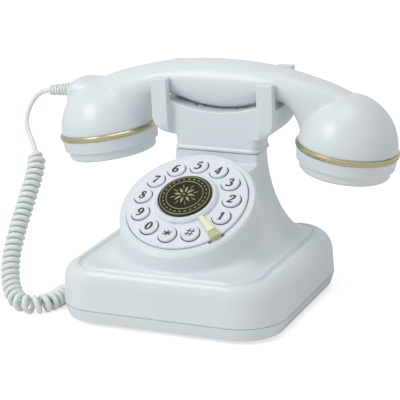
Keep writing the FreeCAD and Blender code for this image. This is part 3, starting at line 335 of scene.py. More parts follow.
def turned(profile, sides=96):
    """Closed solid of revolution about Z through (radius, height) points, in millimetres."""
    bm = bmesh.new()
    rings = []
    for r, z in profile:
        if r < 1e-6:
            rings.append([bm.verts.new((0, 0, z * MM))])
        else:
            rings.append([bm.verts.new((r * MM * math.cos(2 * math.pi * k / sides),
                                        r * MM * math.sin(2 * math.pi * k / sides), z * MM))
                          for k in range(sides)])
    closed = rings[0][0] is not rings[-1][0] and len(rings[0]) > 1 and len(rings[-1]) > 1
    pairs = list(zip(rings, rings[1:])) + ([(rings[-1], rings[0])] if closed else [])
    for low, high in pairs:
        for k in range(sides):
            j = (k + 1) % sides
            corners = [low[k % len(low)], low[j % len(low)], high[j % len(high)], high[k % len(high)]]
            corners = list(dict.fromkeys(corners))
            if len(corners) > 2:
                bm.faces.new(corners)
    return bm


CORNER_SHARE = 0.45


def soft_profile(points, radius, steps):
    """The outline with its corners rounded; each point is (radius, height) or (radius, height, round)."""
    out = []
    count = len(points)
    for i, point in enumerate(points):
        here = Vector(point[:2])
        size = point[2] if len(point) > 2 else radius
        if size <= 0 or i in (0, count - 1):
            out.append(tuple(here))
            continue
        before, after = Vector(points[i - 1][:2]) - here, Vector(points[i + 1][:2]) - here
        reach = min(size, before.length * CORNER_SHARE, after.length * CORNER_SHARE)
        a, b = here + before.normalized() * reach, here + after.normalized() * reach
        for k in range(steps + 1):
            t = k / steps
            out.append(tuple(a * (1 - t) ** 2 + here * 2 * t * (1 - t) + b * t ** 2))
    return out


def bore(radius, low, high, sides=96):
    """Closed round bar about Z between two heights, in millimetres."""
    return turned([(0, low), (radius, low), (radius, high), (0, high)], sides)


def dial_place():
    slope = Matrix.Rotation(math.radians(DIAL_SLOPE), 4, "X")
    return Matrix.Translation((0, DIAL_Y * MM, DIAL_Z * MM)) @ slope


def cap_place(side):
    tilt = Matrix.Rotation(math.radians(side * CAP_TILT), 4, "Y")
    return Matrix.Translation((side * CAP_X * MM, HANDSET_Y * MM, CAP_Z * MM)) @ tilt


def moved(piece, place):
    piece.data.transform(place)
    return piece


def block(x0, x1, y0, y1, z0, z1):
    bm = bmesh.new()
    stacked(bm, [[(x0, y0, z), (x1, y0, z), (x1, y1, z), (x0, y1, z)] for z in (z0, z1)])
    return bm


def carved(piece, cutter_bm, place=Matrix.Identity(4)):
    """The piece with a cutter's shape taken away."""
    cutter = moved(from_bmesh("cutter", cutter_bm, WHITE), place)
    piece = modified(piece, "BOOLEAN", operation="DIFFERENCE", object=cutter, solver="EXACT")
    bpy.data.objects.remove(cutter)
    return piece


def gather(bm, shape, place):
    """Adds a placed shape to the solids that will melt into one skin."""
    shape.transform(place)
    loose = bpy.data.meshes.new("loose")
    shape.to_mesh(loose)
    shape.free()
    bm.from_mesh(loose)
    bpy.data.meshes.remove(loose)


def melted(piece, voxel, rounds, keep):
    """One soft-edged skin over the overlapping solids of the piece; the voxel is in millimetres."""
    piece = modified(piece, "REMESH", mode="VOXEL", voxel_size=voxel * MM)
    piece = modified(piece, "SMOOTH", factor=0.5, iterations=rounds)
    piece = modified(piece, "DECIMATE", ratio=keep)
    piece.data.shade_smooth()
    return piece


# Base

NECK_X, NECK_FRONT, NECK_BACK = 27.3, 23.5, 45.5
FOOT_X, FOOT_FRONT, FOOT_BACK = 57.2, -64.0, 55.0
NECK_FORWARD = 1.5
CENTRE_Y = 3.5
PEDESTAL_SINK = 0.8
NECK_POWER = 9.0
POWER_DROP = 2.5
POWER_RATE = 1.6
MEETING_SOFT = 9.0
MEETING_GAIN = 36.0
MEETING_LOW = 60.0
MEETING_SPAN = 16.0
FARTHEST = 150.0
RING_POINTS = 160
PEDESTAL_RINGS = 30
RING_CROWDING = 1.5


def pedestal_ring(share):
    """Outline of the pedestal at a share of its rise: a squared oval that shrinks to the neck,
    blended into the drum under the dial, softly at the foot and in a sharp corner at the neck."""
    z = PLINTH_TOP - PEDESTAL_SINK + (NECK_TOP - PLINTH_TOP + PEDESTAL_SINK) * share
    spread = 1 - math.sqrt(1 - (1 - share) ** 2)
    half = NECK_X + (FOOT_X - NECK_X) * spread
    front = NECK_FORWARD + (FOOT_FRONT - NECK_FORWARD) * spread
    back = NECK_BACK + (FOOT_BACK - NECK_BACK) * spread
    power = NECK_POWER - POWER_DROP * min(1.0, POWER_RATE * spread)
    middle, deep = (front + back) / 2, (back - front) / 2
    drum_y = BEZEL_R * math.cos(math.radians(DIAL_SLOPE))
    rise = min(1.0, max(0.0, (z - MEETING_LOW) / MEETING_SPAN))
    crisp = MEETING_SOFT + MEETING_GAIN * rise * rise * (3 - 2 * rise)

    def level(x, y):
        square = ((abs(x) / half) ** power + (abs(y - middle) / deep) ** power) ** (1 / power)
        oval = math.hypot(x / BEZEL_R, (y - DIAL_Y) / drum_y)
        nearest = min(square, oval)
        shares = math.exp(-crisp * (square - nearest)) + math.exp(-crisp * (oval - nearest))
        return nearest - math.log(shares) / crisp

    ring = []
    for i in range(RING_POINTS):
        angle = 2 * math.pi * (i + 0.5) / RING_POINTS
        near, far = 0.0, FARTHEST
        while far - near > 1e-3:
            mid = (near + far) / 2
            if level(mid * math.cos(angle), CENTRE_Y + mid * math.sin(angle)) < 1:
                near = mid
            else:
                far = mid
        ring.append((near * math.cos(angle), CENTRE_Y + near * math.sin(angle), z))
    return ring


def channel(path, section):
    """Closed cutter that carries a section of (outward, up) points round a level ring."""
    bm = bmesh.new()
    rows = []
    for i, point in enumerate(path):
        here, before, after = Vector(point), Vector(path[i - 1]), Vector(path[(i + 1) % len(path)])
        outward = (after - before).cross(Vector((0, 0, 1))).normalized()
        rows.append([bm.verts.new((here + outward * out + Vector((0, 0, up))) * MM) for out, up in section])
    for i, row in enumerate(rows):
        following = rows[(i + 1) % len(rows)]
        for k in range(len(section)):
            j = (k + 1) % len(section)
            bm.faces.new((row[k], row[j], following[j], following[k]))
    return bm


GROOVE_R = 2.2
GROOVE_OUT = 0.65
GROOVE_FRONT_IN = 1.0
GROOVE_CORNER = 18.4
GROOVE_SIDES = 12


def foot_groove():
    """Round-bottomed channel in the plinth's top along the pedestal's foot."""
    path = rounded_oblong(FOOT_X + GROOVE_OUT, FOOT_FRONT + GROOVE_FRONT_IN, FOOT_BACK + GROOVE_OUT,
                          GROOVE_CORNER, PLINTH_TOP)
    angles = [2 * math.pi * k / GROOVE_SIDES for k in range(GROOVE_SIDES)]
    return channel(path, [(GROOVE_R * math.cos(angle), GROOVE_R * math.sin(angle)) for angle in angles])


SEAM_CORNER = 4.5
SEAM_IN, SEAM_PAST = -1.2, 4.0
SEAM_LOW, SEAM_HIGH = -0.7, 0.4


def neck_seam():
    """Narrow gap round the neck under the cradle."""
    return channel(rounded_oblong(NECK_X, NECK_FRONT, NECK_BACK, SEAM_CORNER, NECK_TOP),
                   [(SEAM_IN, SEAM_LOW), (SEAM_PAST, SEAM_LOW), (SEAM_PAST, SEAM_HIGH), (SEAM_IN, SEAM_HIGH)])


VALLEY_DEPTH = 7.0
VALLEY_FRONT = -3.0
VALLEY_OPEN = 9.0
PAST = 60.0


def pedestal_solid():
    """Pedestal under the dial's seat, with the valley between the dial and the cradle cut square."""
    bm = bmesh.new()
    shares = [(k / PEDESTAL_RINGS) ** RING_CROWDING for k in range(PEDESTAL_RINGS + 1)]
    stacked(bm, [pedestal_ring(share) for share in shares])
    slope = math.radians(DIAL_SLOPE)
    out = Vector((0, -math.sin(slope), math.cos(slope)))
    seat = Vector((0, DIAL_Y, DIAL_Z)) * MM - out * BEZEL_STAND * MM
    bmesh.ops.bisect_plane(bm, geom=bm.verts[:] + bm.edges[:] + bm.faces[:], dist=1e-7,
                           plane_co=seat, plane_no=out, clear_outer=True)
    bmesh.ops.holes_fill(bm, edges=[e for e in bm.edges if e.is_boundary], sides=0)
    pedestal = from_bmesh("pedestal", bm, WHITE)
    valley = block(-PAST, PAST, VALLEY_FRONT, NECK_FRONT, NECK_TOP - VALLEY_DEPTH, NECK_TOP + VALLEY_OPEN)
    return carved(pedestal, valley)


PLINTH_CORNER = 27.0
SIDE_DRAFT = 0.8
SHOULDER_IN_X = 10.6
SHOULDER_IN_Y = 4.6
SHOULDER_STEPS = 12


def plinth_solid():
    """Plinth with a slight draft and a quarter-round shoulder that draws in further at the sides."""
    def level_ring(dx, dy, z):
        corner = PLINTH_CORNER - (dx + dy) / 2
        return rounded_oblong(PLINTH_X - dx, PLINTH_FRONT + dy, PLINTH_BACK - dy, corner, z)

    rings = [level_ring(0, 0, PARTING), level_ring(SIDE_DRAFT, SIDE_DRAFT, SHOULDER_Z)]
    for k in range(1, SHOULDER_STEPS + 1):
        angle = math.pi / 2 * k / SHOULDER_STEPS
        share = 1 - math.cos(angle)
        rings.append(level_ring(SIDE_DRAFT + SHOULDER_IN_X * share, SIDE_DRAFT + SHOULDER_IN_Y * share,
                                SHOULDER_Z + (PLINTH_TOP - SHOULDER_Z) * math.sin(angle)))
    bm = bmesh.new()
    stacked(bm, rings)
    return from_bmesh("plinth", bm, WHITE)


DRUM_DEEP = 10.0
DRUM_FLAT_R = 36.0
RIM_ROUND = 2.2
RECESS_DEEP = 3.2
WELL_R = 31.0
WELL_DEEP = 9.0
SLOT_HALF = 1.1
SLOT_IN, SLOT_OUT = 1.0, 1.1
SLOT_DEEP = 7.0


def shade_slot(skin, angle):
    """Narrow pocket in the recess's wall beside the finger stop's foot, its sunken faces painted dark as
    shade.
    """
    place = dial_place() @ Matrix.Rotation(math.radians(angle), 4, "Z")
    pocket = block(RECESS_R - SLOT_IN, RECESS_R + SLOT_OUT, -SLOT_HALF, SLOT_HALF, -SLOT_DEEP, 3)
    skin = carved(skin, pocket, place)
    turn_back = place.inverted()
    low, high, side = RECESS_R - SLOT_IN - 0.1, RECESS_R + SLOT_OUT + 0.1, SLOT_HALF + 0.1
    # Painted shade: the pocket's faces below the recess floor take the dark gap colour.
    for face in skin.data.polygons:
        x, y, z = turn_back @ face.center / MM
        if low < x < high and abs(y) < side and z < -0.3:
            face.material_index = 1
    return skin


def body_skin():
    """Pedestal, plinth and dial drum melted into one skin, with the recess, seam and pockets cut."""
    bm = bmesh.new()
    for solid in (pedestal_solid(), plinth_solid()):
        solid = carved(solid, foot_groove())
        bm.from_mesh(solid.data)
        bpy.data.objects.remove(solid)
    drum = [(0, -DRUM_DEEP), (BEZEL_R, -DRUM_DEEP, 0), (BEZEL_R, 0, RIM_ROUND), (DRUM_FLAT_R, 0, 0), (0, 0)]
    gather(bm, turned(soft_profile(drum, radius=0.4, steps=6)), dial_place())
    skin = from_bmesh("body_skin", bm, WHITE)
    skin = melted(skin, voxel=0.6, rounds=4, keep=0.42)
    skin = carved(skin, bore(RECESS_R, -RECESS_DEEP, 6, 128), dial_place())
    skin = carved(skin, bore(WELL_R, -WELL_DEEP, 2), dial_place())
    skin = carved(skin, neck_seam())
    # Second slot holds the painted shade for the pockets.
    skin.data.materials.append(PAINTED_GAP_SHADE)
    for angle in SLOT_ANGLES:
        skin = shade_slot(skin, angle)
    return skin


SOCKET_HALF = 5.7
SOCKET_GAP = 0.2
SOCKET_RISE = 1.4
KNOB_GAP = 0.3
KNOB_TRAVEL = 5.0
WALL_PAST = 6.0
WALL_DEEP = 10.0
LEFT_PAST = -78.0


def port_blocks():
    """Windows for the sockets and the sliders."""
    def bounds_of(name):
        low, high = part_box(name)
        return [v / MM for v in low], [v / MM for v in high]

    low, high = bounds_of("cord_plug")
    socket_z = (low[2] + high[2] + SOCKET_RISE) / 2
    window = (socket_z - SOCKET_HALF, socket_z + SOCKET_HALF)
    behind = PLINTH_BACK + WALL_PAST
    low, high = bounds_of("handset_jack")
    ports = [block(LEFT_PAST, high[0], low[1] - SOCKET_GAP, high[1] + SOCKET_GAP, *window)]
    low, high = bounds_of("line_jack")
    ports.append(block(low[0] - SOCKET_GAP, high[0] + SOCKET_GAP, low[1], behind, *window))
    for name in ("ringer_knob", "tone_knob"):
        low, high = bounds_of(name)
        ports.append(block(low[0] - KNOB_GAP, high[0] + KNOB_TRAVEL + KNOB_GAP,
                           PLINTH_BACK - WALL_DEEP, behind, low[2] - KNOB_GAP, high[2] + KNOB_GAP))
    return ports


def make_body():
    skin = body_skin()
    for port in port_blocks():
        skin = carved(skin, port)
    skin = edged(skin, 40)
    skin.name = "moulded_body"
    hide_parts("body_shell")
    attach(skin, "base")


# Handset

def smooth_through(points, count):
    """Evenly many points on a smooth curve through the given ones."""
    out = []
    last = len(points) - 1
    for k in range(count + 1):
        t = last * k / count
        i = min(int(t), last - 1)
        u = t - i
        a, b, c, d = (points[max(0, min(last, i + j))] for j in (-1, 0, 1, 2))
        out.append(tuple(0.5 * (2 * q + (r - p) * u + (2 * p - 5 * q + 4 * r - s) * u ** 2 +
                                (3 * q - p - 3 * r + s) * u ** 3) for p, q, r, s in zip(a, b, c, d)))
    return out


GRIP_RISES = [((0.0, 0.3), (0.0, 30.3)), ((15.0, 1.8), (15.5, 29.8)), ((28.0, 5.5), (30.0, 28.3)),
              ((36.5, 6.8), (43.0, 26.0)), ((43.3, 3.8), (58.0, 22.4)), ((47.8, -3.2), (74.0, 17.6)),
              ((50.3, -10.7), (89.0, 10.3)), ((52.0, -16.7), (100.0, -3.2))]
GRIP_DEPTH = 14.3
GRIP_SPANS = 140
GRIP_SIDES = 48
DOME_R = 30.4
DOME_TALL = 32.0
DOME_SQUARE = 0.94
HEEL_INNER = -72.0
HEEL_HALF = 13.6
HEEL_CORNER = 5.0
HEEL_RINGS = [(-107.0, 90.0, 0), (-105.0, 106.0, 0), (-103.7, 118.0, 0.4), (-102.6, 121.4, 1.8),
              (-100.6, 123.4, 4.0), (-97.8, 124.2, 6.6)]


def grip_rings():
    half = [(a[0], a[1] + SADDLE_LOW, b[0], b[1] + SADDLE_LOW) for a, b in GRIP_RISES]
    spans = [(-a, b, -c, d) for a, b, c, d in half[:0:-1]] + half
    rings = []
    angles = [2 * math.pi * k / GRIP_SIDES for k in range(GRIP_SIDES)]
    for xa, za, xb, zb in smooth_through(spans, GRIP_SPANS):
        centre = Vector(((xa + xb) / 2, HANDSET_Y, (za + zb) / 2))
        up = Vector(((xb - xa) / 2, 0, (zb - za) / 2))
        rings.append([tuple(centre + up * math.cos(angle) + Vector((0, GRIP_DEPTH * math.sin(angle), 0)))
                      for angle in angles])
    return rings


def dome():
    """Squared dome over a cap, as (radius, height) points turned about its own axis."""
    power = 1 / DOME_SQUARE
    angles = [math.radians(a) for a in range(0, 90, 3)]
    arc = [(DOME_R * math.cos(a) ** power, DOME_TALL * math.sin(a) ** power) for a in angles]
    return turned([(0, -0.5), (DOME_R, -0.5)] + arc + [(0, DOME_TALL)])


def heel_rings():
    """Block at the handset's left end that the strain relief comes out of."""
    rings = []
    for x, z, shrink in HEEL_RINGS:
        front, back = HANDSET_Y - HEEL_HALF + shrink, HANDSET_Y + HEEL_HALF - shrink
        ring = rounded_oblong((HEEL_INNER - x) / 2, front, back, HEEL_CORNER, z)
        rings.append([(px + (x + HEEL_INNER) / 2, py, pz) for px, py, pz in ring])
    return rings


def handset_skin():
    """Grip, domes and heel melted into one skin, cut level with the caps."""
    bm = bmesh.new()
    stacked(bm, grip_rings())
    for side in (-1, 1):
        gather(bm, dome(), cap_place(side))
    stacked(bm, heel_rings())
    skin = from_bmesh("handset_skin", bm, WHITE)
    skin = melted(skin, voxel=0.7, rounds=16, keep=0.6)
    for side in (-1, 1):
        skin = carved(skin, block(-PAST, PAST, -PAST, PAST, -PAST, 0), cap_place(side))
    return edged(skin, 40)


def make_handset():
    skin = handset_skin()
    skin.name = "moulded_handset"
    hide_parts("handset_shell")
    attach(skin, "handset")


def make_cradle():
    copy = new_piece("moulded_cradle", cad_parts["cradle"].data.copy(), WHITE)
    bm = bmesh.new()
    bm.from_mesh(copy.data)
    bmesh.ops.remove_doubles(bm, verts=bm.verts, dist=1e-6)
    bm.to_mesh(copy.data)
    bm.free()
    copy = melted(copy, voxel=0.45, rounds=3, keep=0.4)
    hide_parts("cradle")
    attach(copy, "base")


# Pen strokes

def pen_curve(name, radius, resolution):
    """Empty curve for round pen strokes of a radius in millimetres."""
    curve = bpy.data.curves.new(name, "CURVE")
    curve.dimensions = "3D"
    curve.bevel_depth = radius * MM
    curve.bevel_resolution = resolution
    curve.use_fill_caps = True
    return curve


def pen_stroke(curve, points, steps):
    """Adds a smooth stroke near points of (place in millimetres, pen share)."""
    spline = curve.splines.new("NURBS")
    spline.points.add(len(points) - 1)
    for point, (place, pen) in zip(spline.points, points):
        point.co = (*(Vector(place) * MM), 1)
        point.radius = pen
    spline.order_u = 3
    spline.use_endpoint_u = True
    spline.resolution_u = steps


def drawn(curve, finish):
    """The curve's strokes as a plain mesh."""
    curve.materials.append(finish)
    piece = bpy.data.objects.new(curve.name, curve)
    bpy.context.collection.objects.link(piece)
    piece = applied(piece)
    piece.data.shade_smooth()
    return piece


# Dial figures: pen strokes of changing width, drawn upright on a 10 high grid and leaned over

FIGURES = {
    "1": [[(1.9, 7.4, .5), (3.0, 8.0, .7), (4.0, 9.6, 1.1)], [(4.0, 10.0, 1.2), (3.9, 5.0, 1.3),
          (3.9, 0.4, 1.2)], [(2.0, 0.3, .5), (3.9, 0.3, .6), (5.8, 0.3, .5)]],
    "2": [[(1.2, 7.4, 1.2), (1.6, 9.4, .9), (3.6, 10.0, .8), (5.4, 9.0, 1.2), (5.4, 7.2, 1.4),
          (4.0, 4.8, 1.0), (1.8, 2.4, .7), (1.0, 0.6, .8)], [(1.0, 0.7, .9), (3.0, 1.2, 1.2),
          (5.0, 0.6, 1.1), (6.0, 2.0, .5)]],
    "3": [[(1.3, 8.2, 1.1), (2.2, 9.8, .7), (4.4, 10.0, .9), (5.2, 8.2, 1.3), (4.4, 6.2, .9),
          (2.8, 5.4, .6)], [(2.8, 5.4, .6), (4.8, 5.0, 1.0), (5.8, 3.0, 1.4), (4.8, 0.8, 1.0),
          (2.6, 0.0, .7), (1.0, 1.6, 1.2)]],
    "4": [[(4.4, 9.8, .8), (2.8, 6.6, .7), (0.6, 3.2, .6)], [(0.6, 3.0, .9), (3.4, 3.0, .9),
          (6.2, 3.0, .8)], [(4.7, 9.9, 1.1), (4.5, 5.0, 1.3), (4.5, 0.3, 1.2)], [(3.2, 0.2, .5),
          (4.5, 0.2, .6), (5.9, 0.2, .5)]],
    "5": [[(5.6, 9.6, 1.1), (3.6, 9.3, 1.0), (2.0, 9.6, .7)], [(2.0, 9.6, .6), (1.8, 7.6, .6),
          (1.6, 5.6, .6)], [(1.6, 5.7, .5), (3.4, 6.4, .9), (5.4, 5.2, 1.3), (5.4, 2.4, 1.4),
          (4.0, 0.4, 1.0), (2.0, 0.2, .8), (0.9, 1.6, 1.1)]],
    "6": [[(5.4, 8.8, .9), (4.2, 10.0, .7), (2.4, 8.6, 1.0), (1.3, 5.2, 1.4), (1.5, 2.0, 1.3),
          (3.2, 0.1, .8), (5.2, 1.4, 1.2), (5.5, 3.8, 1.3), (4.2, 5.7, .8), (2.4, 5.0, .6),
          (1.5, 3.4, .5)]],
    "7": [[(1.3, 7.4, .5), (1.7, 9.4, 1.0), (3.4, 9.0, 1.3), (6.0, 9.8, .6)], [(6.0, 9.8, .5),
          (4.6, 7.0, .7), (3.4, 3.8, 1.1), (3.0, 0.4, 1.4)]],
    "8": [[(5.2, 8.4, .9), (3.6, 10.0, .7), (1.8, 8.4, 1.2), (2.6, 6.2, 1.3), (4.8, 4.4, 1.3),
          (5.6, 2.2, 1.1), (3.4, 0.0, .7), (1.2, 2.0, .9), (2.2, 4.6, .6), (4.4, 6.2, .6),
          (5.2, 8.4, .9)]],
    "9": [[(5.3, 6.6, .5), (4.4, 5.0, .6), (2.8, 4.3, .8), (1.4, 6.2, 1.3), (1.7, 8.6, 1.2),
          (3.6, 9.9, .8), (5.4, 8.0, 1.3), (5.5, 4.8, 1.4), (4.4, 1.4, 1.0), (2.6, 0.0, .7),
          (1.4, 1.2, .9)]],
    "0": [[(3.5, 10.0, .7), (1.6, 8.0, 1.1), (1.2, 4.6, 1.4), (2.0, 1.4, 1.1), (3.5, 0.0, .7),
          (5.2, 2.0, 1.1), (5.7, 5.4, 1.4), (5.0, 8.6, 1.1), (3.5, 10.0, .7)]],
    "star": [[(3.4, 8.4, .9), (3.4, 5.4, .6), (3.4, 2.4, .9)], [(0.8, 7.0, .9), (3.4, 5.4, .6),
             (6.0, 3.8, .9)], [(0.8, 3.8, .9), (3.4, 5.4, .6), (6.0, 7.0, .9)]],
    "hash": [[(2.4, 9.2, .6), (2.2, 5.0, .6), (2.0, 0.8, .6)], [(4.8, 9.2, .6), (4.6, 5.0, .6),
             (4.4, 0.8, .6)], [(0.5, 6.6, .6), (3.4, 6.6, .6), (6.4, 6.6, .6)], [(0.3, 3.4, .6),
             (3.3, 3.4, .6), (6.2, 3.4, .6)]],
}
FIGURE_TALL = 6.1
FIGURE_LEAN = 0.16
PEN_HALF = 0.62


FIGURE_WIDE = 1.12
SIGN_TALL = 1.15
SIGN_WIDE = 1.3
GRID_MIDDLE = (3.4, 5.0)


def figure_curve(name, strokes):
    curve = pen_curve("figure_" + name, PEN_HALF, 2)
    sign = name in ("star", "hash")
    tall = FIGURE_TALL / 10 * (SIGN_TALL if sign else 1.0)
    wide = tall * (SIGN_WIDE if sign else FIGURE_WIDE)
    for stroke in strokes:
        points = []
        for x, y, pen in stroke:
            x, y = (x - GRID_MIDDLE[0]) * wide, (y - GRID_MIDDLE[1]) * tall
            points.append(((x + FIGURE_LEAN * y, y, 0), pen))
        pen_stroke(curve, points, 6)
    return curve


KEY_NAMES = ("1", "2", "3", "4", "5", "6", "7", "8", "9", "0", "star", "hash")
KEY_R = 5.5
KEY_SEAT = 1.9
KEY_TOP = 3.60
FLANGE_R = 6.6
FLANGE_LOW, FLANGE_HIGH = -1.6, -0.7
DISH_R = 3.6
DISH_EDGE = 0.12
DISH_DEEP = 0.18
INK_FLAT = 0.12


def make_keys():
    """Dished key caps, each with its figure laid flat into the dish."""
    cap = soft_profile([(0, FLANGE_LOW), (FLANGE_R, FLANGE_LOW, 0), (FLANGE_R, FLANGE_HIGH, 0),
                        (KEY_R, FLANGE_HIGH, 0), (KEY_R, KEY_SEAT, 0), (KEY_R, KEY_TOP, 1.1),
                        (DISH_R, KEY_TOP - DISH_EDGE, 0.8), (0, KEY_TOP - DISH_EDGE - DISH_DEEP)],
                       radius=0.3, steps=5)
    for i, name in enumerate(KEY_NAMES):
        angle = math.radians(KEY_FIRST + KEY_PITCH * i)
        x, y = KEY_CIRCLE_R * math.cos(angle), KEY_CIRCLE_R * math.sin(angle)
        place = dial_place() @ Matrix.Translation((x * MM, y * MM, 0))
        key = from_bmesh("push_key_" + name, turned(cap, 64), KEY_WHITE)
        # Painted shade: the key's side below the plate's level takes the dark gap colour, standing in for the
        # shade in the gap round it.
        key.data.materials.append(PAINTED_GAP_SHADE)
        for face in key.data.polygons:
            face.material_index = int(face.center.z < KEY_SEAT * MM)
        key = edged(moved(key, place), 50)
        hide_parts("key_" + name)
        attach(key, "button_" + name)
        figure = drawn(figure_curve(name, FIGURES[name]), INK)
        for vertex in figure.data.vertices:
            radius = vertex.co.xy.length / MM
            dish = KEY_TOP - DISH_EDGE - DISH_DEEP * max(0.0, 1 - radius / DISH_R)
            vertex.co.z = vertex.co.z * INK_FLAT + dish * MM
        moved(figure, place)
        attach(figure, "button_" + name)


STOP_ANGLE = -42.5
STOP_TOP = 4.5
STOP_FOOT_R = 33.2
STRIP_ENDS = ((19.2, 1.45), (STOP_FOOT_R, 2.4))
STRIP_THICK = 1.1
FOOT_ENDS = ((STOP_FOOT_R, 3.0), (38.4, 3.1))
FOOT_LOW = -0.6
FOOT_BELOW_STRIP = 0.7
STOP_EDGE = 0.3


def make_finger_stop():
    """Pale tapered strip from the hub outward, with a darker square foot at the dial's rim."""
    place = dial_place() @ Matrix.Rotation(math.radians(STOP_ANGLE), 4, "Z")
    for name, ends, low, high, finish in (
            ("finger_stop_strip", STRIP_ENDS, STOP_TOP - STRIP_THICK, STOP_TOP, IVORY),
            ("finger_stop_foot", FOOT_ENDS, FOOT_LOW, STOP_TOP - FOOT_BELOW_STRIP, OLIVE)):
        (near, narrow), (far, wide) = ends
        corners = [(near, -narrow), (far, -wide), (far, wide), (near, narrow)]
        bm = bmesh.new()
        stacked(bm, [[(x, y, z) for x, y in corners] for z in (low, high)])
        part = from_bmesh(name, bm, finish, smooth=False)
        part = modified(part, "BEVEL", width=STOP_EDGE * MM, segments=2)
        moved(edged(part, 50), place)
        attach(part, "base")
    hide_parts("finger_stop")


# Geometry trees

def new_tree(name, sizes):
    """A geometry tree with named number inputs; returns the tree, its input node and its output node."""
    tree = bpy.data.node_groups.new(name, "GeometryNodeTree")
    tree.interface.new_socket("Geometry", in_out="INPUT", socket_type="NodeSocketGeometry")
    for label, value in sizes.items():
        kind = "NodeSocketInt" if isinstance(value, int) else "NodeSocketFloat"
        tree.interface.new_socket(label, in_out="INPUT", socket_type=kind).default_value = value
    tree.interface.new_socket("Geometry", in_out="OUTPUT", socket_type="NodeSocketGeometry")
    return tree, tree.nodes.new("NodeGroupInput"), tree.nodes.new("NodeGroupOutput")


def finish_tree(tree, geometry, output, material):
    real = tree.nodes.new("GeometryNodeRealizeInstances")
    paint = tree.nodes.new("GeometryNodeSetMaterial")
    paint.inputs["Material"].default_value = material
    tree.links.new(geometry, real.inputs["Geometry"])
    tree.links.new(real.outputs["Geometry"], paint.inputs["Geometry"])
    tree.links.new(paint.outputs["Geometry"], output.inputs["Geometry"])


def grown(piece, tree):
    modifier = piece.modifiers.new("grown", "NODES")
    modifier.node_group = tree
    return applied(piece)


def bead_ring(name, material, count, radius, length, width, height):
    """Small rounded beads set round a circle, each in line with it."""
    tree, source, output = new_tree(name, {"beads": count, "ring radius": radius, "bead length": length,
                                           "bead width": width, "bead height": height})
    nodes, link = tree.nodes, tree.links.new
    circle = nodes.new("GeometryNodeMeshCircle")
    link(source.outputs["beads"], circle.inputs["Vertices"])
    link(source.outputs["ring radius"], circle.inputs["Radius"])
    bead = nodes.new("GeometryNodeMeshIcoSphere")
    bead.inputs["Radius"].default_value = 1.0
    bead.inputs["Subdivisions"].default_value = 2
    size = nodes.new("ShaderNodeCombineXYZ")
    link(source.outputs["bead width"], size.inputs["X"])
    link(source.outputs["bead length"], size.inputs["Y"])
    link(source.outputs["bead height"], size.inputs["Z"])
    place = nodes.new("GeometryNodeInputPosition")
    angle = nodes.new("FunctionNodeAlignRotationToVector")
    angle.axis = "X"
    link(place.outputs["Position"], angle.inputs["Vector"])
    spread = nodes.new("GeometryNodeInstanceOnPoints")
    link(circle.outputs["Mesh"], spread.inputs["Points"])
    link(bead.outputs["Mesh"], spread.inputs["Instance"])
    link(angle.outputs["Rotation"], spread.inputs["Rotation"])
    link(size.outputs["Vector"], spread.inputs["Scale"])
    finish_tree(tree, spread.outputs["Instances"], output, material)
    return grown(new_piece(name, bpy.data.meshes.new(name), material), tree)


MEDAL_R = 16.4
MEDAL_BASE = 5.3
MEDAL_EDGE = 6.3
MEDAL_BEVEL = 0.15
MEDAL_CROWN = 0.9
RELIEF_SINK = 0.3
RIM_RING_R = 15.1
INNER_RING_R = 11.2
BEAD_RING_R = 13.2
BEADS = 26
BEAD_LONG, BEAD_WIDE, BEAD_TALL = 1.0, 0.38, 0.3


def medal_height(radius):
    return MEDAL_EDGE + MEDAL_CROWN * (1 - (radius / MEDAL_R) ** 2)


def raised_ring(name, radius, half_width, rise):
    """Low ridge round the disc, sunk a little into it."""
    foot = medal_height(radius) - RELIEF_SINK
    flank, top = medal_height(radius) + rise * 0.6, medal_height(radius) + rise
    near, far = radius - half_width, radius + half_width
    profile = [(near, foot), (near, flank), (radius, top), (far, flank), (far, foot)]
    return from_bmesh(name, turned(profile, 128), RELIEF_GOLD)


PETALS = 8
PETAL_PEN = 0.42
PETAL_LINE = ((1.9, 0.7), (3.6, 2.5), (5.0, 2.2), (6.6, 0.5))
LEAF_LINE = ((5.4, 0.5), (7.2, 1.1), (8.6, 0.4))
BUTTON_LINE = ((-0.7, 1.5), (0, 2.6), (0.7, 1.5))
ROSETTE_SINK = 0.1
ROSETTE_STEPS = 12


def petal_rosette():
    """Eight-petalled flower with small leaves between its petals, as a plain ornament."""
    curve = pen_curve("rosette", PETAL_PEN, 3)
    top = medal_height(0) - ROSETTE_SINK

    def ray(line, angle):
        x, y = math.cos(angle), math.sin(angle)
        pen_stroke(curve, [((along * x, along * y, top), pen) for along, pen in line], ROSETTE_STEPS)

    for k in range(PETALS):
        angle = 2 * math.pi * k / PETALS
        ray(PETAL_LINE, angle)
        ray(LEAF_LINE, angle + math.pi / PETALS)
    ray(BUTTON_LINE, 0.0)
    return drawn(curve, RELIEF_GOLD)


def bead_circle():
    beads = bead_ring("bead_ring", RELIEF_GOLD, BEADS, BEAD_RING_R * MM, BEAD_LONG * MM, BEAD_WIDE * MM,
                      BEAD_TALL * MM)
    return moved(beads, Matrix.Translation((0, 0, medal_height(BEAD_RING_R) * MM)))


def make_medallion():
    crown = [(r, medal_height(r)) for r in (15, 13, 11, 9, 7, 5, 3, 1.5, 0)]
    edge = [(0, MEDAL_BASE), (MEDAL_R, MEDAL_BASE), (MEDAL_R, MEDAL_EDGE - MEDAL_BEVEL),
            (MEDAL_R - MEDAL_BEVEL, MEDAL_EDGE)]
    disc = edged(from_bmesh("medallion_disc", turned(edge + crown, 128), BRONZE), 40)
    relief = [raised_ring("rim_ring", RIM_RING_R, half_width=0.26, rise=0.30),
              raised_ring("outer_ring", INNER_RING_R, half_width=0.24, rise=0.28),
              bead_circle(), petal_rosette()]
    for piece in relief:
        piece.data.shade_smooth()
    for piece in [disc] + relief:
        moved(piece, dial_place())
        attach(piece, "redial")
    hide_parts("medallion")


# Cord

